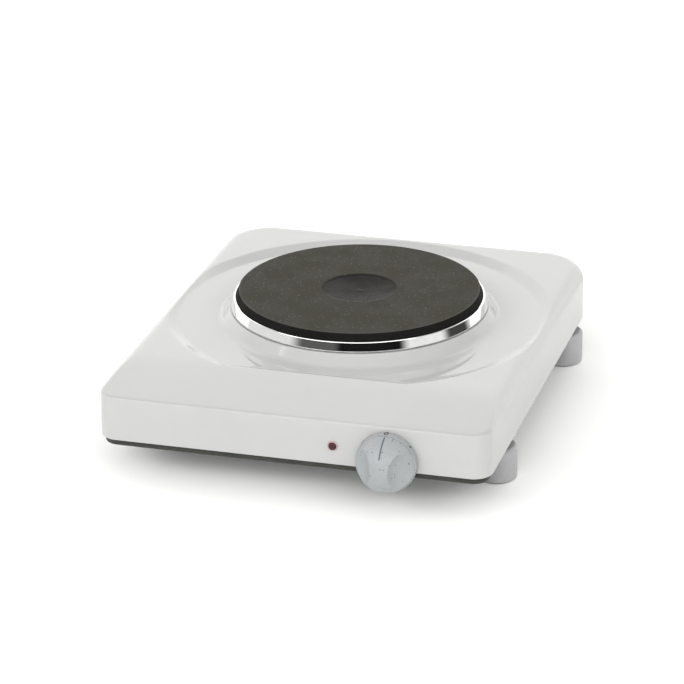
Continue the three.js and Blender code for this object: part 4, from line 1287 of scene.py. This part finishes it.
@dataclass(frozen=True)
class Knob:
    """The domed control knob with a scoop at each side for the fingers."""

    layout: Layout
    skirt: float = 6.3
    hub_radius: float = 6.5
    hub_back: float = 1.0
    scoop_x: float = 25.0
    scoop_out: float = 25.0
    scoop_across: float = 18.5
    scoop_tall: float = 23.0
    scoop_deep: float = 20.0
    edge_soft: float = 0.8
    back_edge: tuple[float, float] = (0.35, 0.3)
    firm_edge: float = 0.6
    smoothings: int = 3
    smoothing: float = 0.4
    steps: int = 200
    rows: int = 84
    pointer_width: float = 1.05
    pointer_tip: float = 10.0
    pointer_start: float = 0.9
    pointer_proud: float = 0.06

    def dome_radius(self, out: float) -> float:
        """Radius of the dome at a distance in front of the casing."""
        share = min(out / self.layout.knob_crown, 1.0)
        return self.layout.knob_radius * math.sqrt(max(0.0, 1.0 - share * share))

    def scooped(self, x: float, y: float, out: float) -> float:
        """Place across of a dome point after the scoops are taken out."""
        room = 1.0 - (y / self.scoop_tall) ** 2 - ((out - self.scoop_out) / self.scoop_deep) ** 2
        if room <= 0.0:
            return x
        wall = self.scoop_x - self.scoop_across * math.sqrt(room)
        near = max(self.edge_soft - abs(abs(x) - wall), 0.0) / self.edge_soft
        kept = min(abs(x), wall) - near * near * self.edge_soft / 4.0
        return math.copysign(max(kept, 0.0), x)

    def build(self) -> bpy.types.Object:
        """Turns the dome, then presses the two scoops into it."""
        inward, forward = self.back_edge
        profile = [
            (0.0, self.hub_back), (self.hub_radius, self.hub_back), (self.hub_radius, self.skirt),
            (self.dome_radius(self.skirt) - inward, self.skirt),
        ]
        start = math.asin((self.skirt + forward) / self.layout.knob_crown)
        for row in range(self.rows + 1):
            angle = start + (math.pi / 2.0 - start) * row / self.rows
            out = self.layout.knob_crown * math.sin(angle)
            profile.append((self.dome_radius(out), out))
        mesh = spun(profile, self.steps)
        for vert in mesh.verts:
            if vert.co.z > self.skirt + 0.01:
                vert.co.x = self.scooped(vert.co.x, vert.co.y, vert.co.z)
        soft = [vert for vert in mesh.verts if vert.co.z > self.skirt + self.firm_edge]
        for _ in range(self.smoothings):
            bmesh.ops.smooth_vert(
                mesh, verts=soft, factor=self.smoothing,
                use_axis_x=True, use_axis_y=False, use_axis_z=False,
            )
        mesh.normal_update()
        return placed(mesh, "control_knob", self.layout.knob, Facing.FRONT, sharp=50.0)

    def build_pointer(self) -> bpy.types.Object:
        """Lays the pointer line over the top of the dome."""
        crown = self.layout.knob_crown
        first = math.asin((self.skirt + self.pointer_start) / crown)
        last = math.acos(self.pointer_tip / self.layout.knob_radius)
        mesh = bmesh.new()
        bmesh.ops.create_grid(mesh, x_segments=4, y_segments=40, size=0.5)
        for vert in mesh.verts:
            angle = first + (last - first) * (vert.co.y + 0.5)
            ends = min(vert.co.y + 0.5, 0.5 - vert.co.y) * 40.0
            width = self.pointer_width * min(1.0, 0.45 + 0.55 * ends)
            x = vert.co.x * width
            out = crown * math.sin(angle)
            y = math.sqrt(self.dome_radius(out) ** 2 - x * x)
            vert.co = (x, y, out)
        faces = mesh.faces[:]
        if sum(face.normal.y for face in faces) < 0.0:
            bmesh.ops.reverse_faces(mesh, faces=faces)
        bmesh.ops.solidify(mesh, geom=faces, thickness=-self.pointer_proud)
        bmesh.ops.recalc_face_normals(mesh, faces=mesh.faces[:])
        return placed(mesh, "knob_pointer", self.layout.knob, Facing.FRONT, sharp=50.0)


@dataclass(frozen=True)
class Dial:
    """The fixed ring round the knob's back edge, with its seven printed positions."""

    layout: Layout
    inner: float = 18.5
    depth: float = 6.0
    edge: float = 0.45
    digit_height: float = 4.5
    digit_middle: float = 3.0
    dot_radius: float = 0.85
    proud: float = 0.04
    stroke: float = 0.16
    cap_share: float = 0.7
    cut_pitch: float = 0.33
    cuts: int = 6
    marks: tuple[str, ...] = ("0", "dot", "1", "dot", "2", "dot", "3")

    def build(self) -> bpy.types.Object:
        """Turns the ring."""
        outer = self.layout.knob_radius
        corners = [
            (self.inner, 0.0, 0.0), (outer, 0.0, 0.2), (outer, self.depth, self.edge),
            (self.inner, self.depth, 0.3),
        ]
        return turned("dial_ring_cover", corners, self.layout.knob, Facing.FRONT, steps=160)

    def flat_mark(self, mark: str) -> bmesh.types.BMesh:
        """Makes a flat mark about its own middle.

        Args:
            mark: A digit, or "dot".

        Returns:
            The mark as flat faces, in millimetres.
        """
        mesh = bmesh.new()
        if mark == "dot":
            bmesh.ops.create_circle(mesh, cap_ends=True, segments=28, radius=self.dot_radius)
            return mesh
        text = bpy.data.curves.new("mark_outline", "FONT")
        text.body = mark
        text.size = self.digit_height / self.cap_share
        text.offset = self.stroke
        text.align_x, text.align_y = "CENTER", "CENTER"
        holder = bpy.data.objects.new("mark_outline", text)
        bpy.context.scene.collection.objects.link(holder)
        graph = bpy.context.evaluated_depsgraph_get()
        flat = bpy.data.meshes.new_from_object(holder.evaluated_get(graph))
        mesh.from_mesh(flat)
        bpy.data.objects.remove(holder)
        bpy.data.curves.remove(text)
        bpy.data.meshes.remove(flat)
        low = Vector(min(vert.co[axis] for vert in mesh.verts) for axis in range(2))
        high = Vector(max(vert.co[axis] for vert in mesh.verts) for axis in range(2))
        bmesh.ops.translate(mesh, verts=mesh.verts[:], vec=-axis_at(low, high, 0.0))
        return mesh

    def build_mark(self, place: int) -> bpy.types.Object:
        """Wraps one mark round the ring's side.

        Args:
            place: The position's number, clockwise from the top.

        Returns:
            The mark as a thin closed piece.
        """
        mark = self.marks[place]
        mesh = self.flat_mark(mark)
        for cut in range(-self.cuts, self.cuts + 1):
            cut_across(mesh, (cut * self.cut_pitch, 0.0, 0.0), (1.0, 0.0, 0.0))
        bmesh.ops.remove_doubles(mesh, verts=mesh.verts[:], dist=1e-4)
        grown = bmesh.ops.extrude_face_region(mesh, geom=mesh.faces[:])["geom"]
        bmesh.ops.translate(mesh, verts=new_verts(grown), vec=(0.0, 0.0, 1.0))
        turn = 2.0 * math.pi * place / len(self.marks)
        outer = self.layout.knob_radius
        for vert in mesh.verts:
            reach = outer + (self.proud if vert.co.z > 0.5 else -self.proud)
            angle = turn + vert.co.x / outer
            out = self.digit_middle - vert.co.y
            vert.co = (reach * math.sin(angle), reach * math.cos(angle), out)
        bmesh.ops.recalc_face_normals(mesh, faces=mesh.faces[:])
        label = mark if mark != "dot" else f"dot_{place}"
        name = f"dial_mark_{label}"
        return placed(mesh, name, self.layout.knob, Facing.FRONT, sharp=40.0)


# ---------------------------------------------------------------------------- small parts


@dataclass(frozen=True)
class PilotLamp:
    """The red pilot lamp in its pale bezel."""

    layout: Layout
    barrel: float = 3.1
    flange: float = 3.7
    lens: float = 2.8
    rim_high: float = 0.9
    barrel_long: float = 20.0
    dome_foot: float = 1.15
    dome_rise: float = 1.2
    dome_turns: tuple[float, ...] = (1.45, 1.2, 0.95, 0.7, 0.45, 0.2)
    dome_top: float = 2.37

    def build_bezel(self) -> bpy.types.Object:
        """Turns the bezel and its barrel."""
        corners = [
            (0.0, -self.barrel_long, 0.0), (self.barrel, -self.barrel_long, 0.4),
            (self.barrel, 0.1, 0.0),
            (self.flange, 0.1, 0.1), (self.flange, self.rim_high, 0.4),
            (self.lens + 0.1, self.rim_high, 0.15), (self.lens + 0.1, -0.1, 0.0), (0.0, -0.1, 0.0),
        ]
        return turned("pale_lamp_bezel", corners, self.layout.lamp, Facing.FRONT, steps=64)

    def build_lens(self) -> bpy.types.Object:
        """Turns the domed lens."""
        edge = self.lens - 0.1
        dome = [
            (edge * math.sin(turn), self.dome_foot + self.dome_rise * math.cos(turn), 0.0)
            for turn in self.dome_turns
        ]
        corners = [(0.0, 0.1, 0.0), (edge, 0.1, 0.0), *dome, (0.0, self.dome_top, 0.0)]
        return turned("red_lamp_dome", corners, self.layout.lamp, Facing.FRONT, steps=64)


@dataclass(frozen=True)
class Foot:
    """One plastic foot with its rubber pad."""

    corner: str
    edge: float = 2.5
    pad_drop: float = 1.0
    pad_thick: float = 3.0
    pad_radius: float = 13.2

    def build(self) -> bpy.types.Object:
        """Turns the foot."""
        low, high = node_box(f"foot_{self.corner}")
        radius, top = (high.x - low.x) / 2.0, high.z
        seat = self.pad_radius + 0.3
        corners = [
            (0.0, self.pad_thick, 0.0), (seat, self.pad_thick, 0.2), (seat, self.pad_drop, 0.2),
            (radius - 0.35, self.pad_drop, 0.5), (radius, self.pad_drop + 4.0, 3.0),
            (radius, top, self.edge), (0.0, top, 0.0),
        ]
        place = axis_at(low, high, 0.0)
        return turned(f"plastic_foot_{self.corner}", corners, place, steps=96, sharp=40.0)

    def build_pad(self) -> bpy.types.Object:
        """Turns the rubber pad, with two shallow rings underneath."""
        low, high = node_box(f"foot_pad_{self.corner}")
        radius, top = (high.x - low.x) / 2.0, high.z
        corners = [
            (0.0, 0.6, 0.0), (4.0, 0.6, 0.2), (4.6, 0.0, 0.2), (7.4, 0.0, 0.2), (8.0, 0.6, 0.2),
            (9.4, 0.6, 0.2), (10.0, 0.0, 0.2), (radius, 0.0, 0.6), (radius, top, 0.2),
            (0.0, top, 0.0),
        ]
        place = axis_at(low, high, 0.0)
        return turned(f"rubber_pad_{self.corner}", corners, place, steps=72)


@dataclass(frozen=True)
class BaseScrew:
    """A pan-head screw under the base, with a cross recess."""

    corner: str
    shank: float = 2.0
    head_tall: float = 2.0
    recess_half: float = 0.42
    recess_long: float = 2.1
    recess_deep: float = 1.0

    def build(self) -> bpy.types.Object:
        """Turns the screw and sinks the cross into its head."""
        low, high = node_box(f"base_screw_{self.corner}")
        head, tall = (high.x - low.x) / 2.0, self.head_tall
        length = high.z - low.z - tall
        corners = [
            (0.0, -length, 0.0), (self.shank * 0.6, -length, 0.1),
            (self.shank, -length + self.shank, 0.2), (self.shank, 0.0, 0.0), (head, 0.0, 0.1),
            (head, tall * 0.55, 0.5), (head * 0.72, tall, 0.8), (0.0, tall, 0.0),
        ]
        mesh = spun(rounded(corners), 48)
        half, long = self.recess_half, self.recess_long
        for axis in ((1.0, 0.0, 0.0), (0.0, 1.0, 0.0)):
            for place in (-long, -half, half, long):
                top = [face for face in mesh.faces if face.calc_center_median().z > tall * 0.6]
                parts = {item for face in top for item in (*face.verts, *face.edges)}
                bmesh.ops.bisect_plane(
                    mesh, geom=[*parts, *top], dist=1e-5,
                    plane_co=tuple(place * part for part in axis), plane_no=axis,
                )
        floor = [face for face in mesh.faces if self.in_recess(face.calc_center_median())]
        grown = bmesh.ops.extrude_face_region(mesh, geom=floor)["geom"]
        bmesh.ops.translate(mesh, verts=new_verts(grown), vec=(0.0, 0.0, -self.recess_deep))
        bmesh.ops.delete(mesh, geom=[face for face in floor if face.is_valid], context="FACES_ONLY")
        place = axis_at(low, high, low.z + tall)
        return placed(mesh, f"cross_screw_{self.corner}", place, Facing.DOWN)

    def in_recess(self, middle: Vector) -> bool:
        """Tells whether a face of the head lies in the cross."""
        near, far = sorted((abs(middle.x), abs(middle.y)))
        on_top = middle.z > self.head_tall * 0.7
        return on_top and near < self.recess_half and far < self.recess_long


@dataclass(frozen=True)
class CordGland:
    """The rubber cord inlet at the back, with ribs round its outside."""

    layout: Layout
    bore: float = 3.9
    radius: float = 8.0
    inside: float = 14.0
    sheet: float = 1.2
    rib_count: int = 3
    rib_start: float = 3.3
    rib_pitch: float = 2.1
    rib_taper: float = 0.45
    rib_deep: float = 1.3

    def build(self) -> bpy.types.Object:
        """Turns the gland."""
        low, high = node_box("cord_gland")
        reach = high.y - self.layout.casing_high.y
        inner = -self.sheet - self.inside
        ribs: list[Corner] = []
        for rib in range(self.rib_count):
            start = self.rib_start + rib * self.rib_pitch
            wide = self.radius - 1.0 - rib * self.rib_taper
            neck = wide - self.rib_deep
            ribs += [
                (wide, start, 0.3), (wide, start + 1.2, 0.3), (neck, start + 1.35, 0.1),
                (neck, start + 1.95, 0.1),
            ]
        corners = [
            (self.bore, inner, 0.2), (self.radius, inner, 0.4), (self.radius, 0.3, 0.0),
            (self.radius + 3.0, 0.3, 0.3), (self.radius + 3.0, 2.6, 0.9),
            (self.radius - 2.3, 2.9, 0.2),
            *ribs, (self.radius - 2.6, reach, 0.5), (self.bore, reach, 0.6),
        ]
        return turned("rubber_cord_gland", corners, self.layout.gland, Facing.BACK, steps=72)


# ---------------------------------------------------------------------------- studio


@dataclass(frozen=True)
class StudioCamera:
    """The camera: a long lens from the front right, a little above."""

    plate_axis: Vector
    lens: float = 180.2
    azimuth: float = 16.0
    elevation: float = 22.66
    roll: float = -0.51
    distance: float = 2520.58
    rim_height: float = 30.0
    aside: float = 13.16
    below: float = 13.63

    def build(self) -> bpy.types.Object:
        """Places the camera and makes it the scene's."""
        turn, lift, roll = (math.radians(v) for v in (self.azimuth, self.elevation, self.roll))
        flat = math.cos(lift)
        back = Vector((math.sin(turn) * flat, -math.cos(turn) * flat, math.sin(lift)))
        level = (-back).cross(Vector((0.0, 0.0, 1.0))).normalized()
        upright = level.cross(-back)
        right = level * math.cos(roll) + upright * math.sin(roll)
        up = upright * math.cos(roll) - level * math.sin(roll)
        place = back * self.distance - right * self.aside + up * self.below
        place += self.plate_axis + Vector((0.0, 0.0, self.rim_height))
        data = bpy.data.cameras.new("studio_camera")
        data.lens, data.sensor_width = self.lens, 36.0
        data.clip_start, data.clip_end = 0.1, 60.0
        made = bpy.data.objects.new("studio_camera", data)
        bpy.context.scene.collection.objects.link(made)
        turn_matrix = Matrix((right, up, back)).transposed().to_4x4()
        made.matrix_world = Matrix.Translation(place * MM) @ turn_matrix
        bpy.context.scene.camera = made
        return made


@dataclass(frozen=True)
class Patch:
    """A part of the studio's walls that is lighter or darker than the rest, in degrees."""

    azimuth: float
    half_width: float
    low: float
    high: float
    level: float
    soft: float


@dataclass(frozen=True)
class Studio:
    """A pale floor in a white room whose walls are lighter or darker in places."""

    floor_size: float = 14.0
    level: float = 0.85
    floor_white: float = 0.95
    floor_warm: float = 0.995
    floor_lift: float = 0.1
    patches: tuple[Patch, ...] = (
        Patch(azimuth=15.0, half_width=100.0, low=-20.0, high=21.0, level=0.12, soft=2.0),
        Patch(azimuth=2.0, half_width=68.0, low=23.0, high=41.0, level=4.8, soft=2.0),
        Patch(azimuth=-80.0, half_width=38.0, low=-4.0, high=19.0, level=0.9, soft=7.0),
        Patch(azimuth=-164.0, half_width=62.0, low=-20.0, high=42.0, level=1.6, soft=2.5),
        Patch(azimuth=-165.0, half_width=85.0, low=49.0, high=68.0, level=0.12, soft=3.0),
        Patch(azimuth=26.0, half_width=30.0, low=-20.0, high=23.0, level=0.01, soft=4.0),
        Patch(azimuth=76.0, half_width=20.0, low=-4.0, high=19.0, level=1.0, soft=6.0),
        Patch(azimuth=112.0, half_width=12.0, low=-20.0, high=22.0, level=0.06, soft=5.0),
    )

    def build_floor(self) -> bpy.types.Object:
        """Lays the floor."""
        mesh = bmesh.new()
        bmesh.ops.create_grid(mesh, x_segments=2, y_segments=2, size=self.floor_size / 2.0)
        floor = to_piece(mesh, "studio_floor")
        data = bpy.data.materials.new("pale_studio_floor")
        bench = fresh_bench(data)
        white = self.floor_white
        where = bench.node("ShaderNodeTexCoord").outputs["Object"]
        cloud = bench.node("ShaderNodeTexNoise", Vector=where, Scale=2.0)
        warm = (white, white, white * self.floor_warm)
        colour = bench.blend(cloud.outputs[0], (white, white, white), warm)
        shader = bench.node("ShaderNodeBsdfDiffuse")
        bench.feed(shader, "Color", colour)
        glow = bench.node("ShaderNodeEmission", Strength=self.floor_lift)
        both = bench.node("ShaderNodeAddShader")
        bench.feed(both, 0, shader.outputs[0])
        bench.feed(both, 1, glow.outputs[0])
        sink = bench.node("ShaderNodeOutputMaterial")
        bench.feed(sink, "Surface", both.outputs[0])
        floor.data.materials.append(data)
        return floor

    def patch_share(self, bench: Bench, way: Any, patch: Patch) -> Any:
        """Gives how far a direction lies in a patch.

        Args:
            bench: The world's bench.
            way: The direction's socket.
            patch: The patch.

        Returns:
            A socket that is 1 inside, 0 outside and between at the soft edges.
        """
        turn = math.radians(patch.azimuth)
        ahead = (math.sin(turn), -math.cos(turn), 0.0)
        aside = (math.cos(turn), math.sin(turn), 0.0)
        forward = bench.vector_maths("DOT_PRODUCT", way, ahead)
        sideways = bench.vector_maths("DOT_PRODUCT", way, aside)
        azimuth = bench.maths("ABSOLUTE", bench.maths("ARCTAN2", sideways, forward))
        rise = bench.vector_maths("DOT_PRODUCT", way, (0.0, 0.0, 1.0))
        lift = bench.maths("ARCSINE", rise)
        soft, wide = math.radians(patch.soft), math.radians(patch.half_width)
        low, high = math.radians(patch.low), math.radians(patch.high)
        share = bench.spread(azimuth, wide - soft, wide + soft, 1.0, 0.0)
        above = bench.spread(lift, low - soft, low + soft, 0.0, 1.0)
        below = bench.spread(lift, high - soft, high + soft, 1.0, 0.0)
        return bench.maths("MULTIPLY", share, bench.maths("MULTIPLY", above, below))

    def build_room(self) -> None:
        """Paints the room's light on the world."""
        world = bpy.data.worlds.new("studio_room")
        bpy.context.scene.world = world
        bench = fresh_bench(world)
        way = bench.node("ShaderNodeTexCoord").outputs["Generated"]
        level: Any = self.level
        for patch in self.patches:
            share = self.patch_share(bench, way, patch)
            change = bench.maths("SUBTRACT", patch.level, level)
            level = bench.maths("MULTIPLY_ADD", share, change, level)
        glow = bench.node("ShaderNodeBackground", Strength=level, Color=(1.0, 0.995, 0.985, 1.0))
        sink = bench.node("ShaderNodeOutputWorld")
        bench.feed(sink, "Surface", glow.outputs[0])


# ---------------------------------------------------------------------------- assembly


@dataclass
class HotPlate:
    """The whole object: pieces that replace CAD nodes, and finishes for the rest."""

    layout: Layout
    slots: dict[Slot, Finish]

    def add(self, piece: bpy.types.Object, slot: Slot, *nodes: str, body: str = ROOT_BODY) -> None:
        """Dresses a piece with its slot's finish."""
        dress_piece(piece, self.slots[slot], body, slot, *nodes)

    def build_casing(self) -> None:
        """Builds the casing and the pan under it."""
        self.add(Casing(self.layout).build(), Slot.ENAMEL, "body_shell")
        # The pan takes the painted-shade steel, not its zinc slot's finish.
        dress_piece(BasePan(self.layout).build(), PAN_SHADE_FINISH, ROOT_BODY, Slot.ZINC, "base_pan")

    def build_plate(self) -> None:
        """Builds the plate and its ring."""
        self.add(CastPlate(self.layout).build(), Slot.CAST_IRON, "hotplate")
        self.add(TrimRing(self.layout).build(), Slot.STAINLESS, "trim_ring")

    def build_control(self) -> None:
        """Builds the knob, the dial behind it and the lamp."""
        knob = Knob(self.layout)
        self.add(knob.build(), Slot.KNOB, "knob", body=KNOB_BODY)
        dress_piece(knob.build_pointer(), GROOVE_FINISH, KNOB_BODY, Slot.DARK)
        dial = Dial(self.layout)
        self.add(dial.build(), Slot.KNOB, "dial_ring")
        for place in range(len(dial.marks)):
            dress_piece(dial.build_mark(place), PRINT_FINISH, ROOT_BODY, Slot.DARK)
        lamp = PilotLamp(self.layout)
        self.add(lamp.build_bezel(), Slot.LAMP, "lamp_body")
        self.add(lamp.build_lens(), Slot.LENS, "lamp_lens")

    def build_small_parts(self) -> None:
        """Builds the feet, the screws under the base and the cord gland."""
        for corner in CORNERS:
            foot = Foot(corner)
            self.add(foot.build(), Slot.FOOT, f"foot_{corner}")
            self.add(foot.build_pad(), Slot.RUBBER, f"foot_pad_{corner}")
            self.add(BaseScrew(corner).build(), Slot.ZINC, f"base_screw_{corner}")
        self.add(CordGland(self.layout).build(), Slot.RUBBER, "cord_gland")

    def dress_inner_parts(self) -> None:
        """Gives every CAD node that still shows the finish of its slot."""
        slot_of = {row["node"]: row["material_slot"] for row in frame["record"]["subparts"]}
        for name, node in frame["nodes"].items():
            if node.hide_render:
                continue
            finish = self.slots[Slot(slot_of[name])]
            node.data.materials.clear()
            node.data.materials.append(finish.material())
            LOG.info("%s: CAD node in %s", name, finish.name)


def main() -> None:
    """Builds the object and its studio."""
    logging.basicConfig(level=logging.INFO, format="%(message)s")
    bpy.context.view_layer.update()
    bpy.context.scene.view_settings.view_transform = "Standard"
    layout = Layout.from_frame()
    StudioCamera(layout.plate_axis).build()
    hot_plate = HotPlate(layout, finishes(layout.plate_axis))
    hot_plate.build_casing()
    hot_plate.build_plate()
    hot_plate.build_control()
    hot_plate.build_small_parts()
    hot_plate.dress_inner_parts()
    studio = Studio()
    studio.build_floor()
    studio.build_room()


if __name__ == "__main__":
    main()
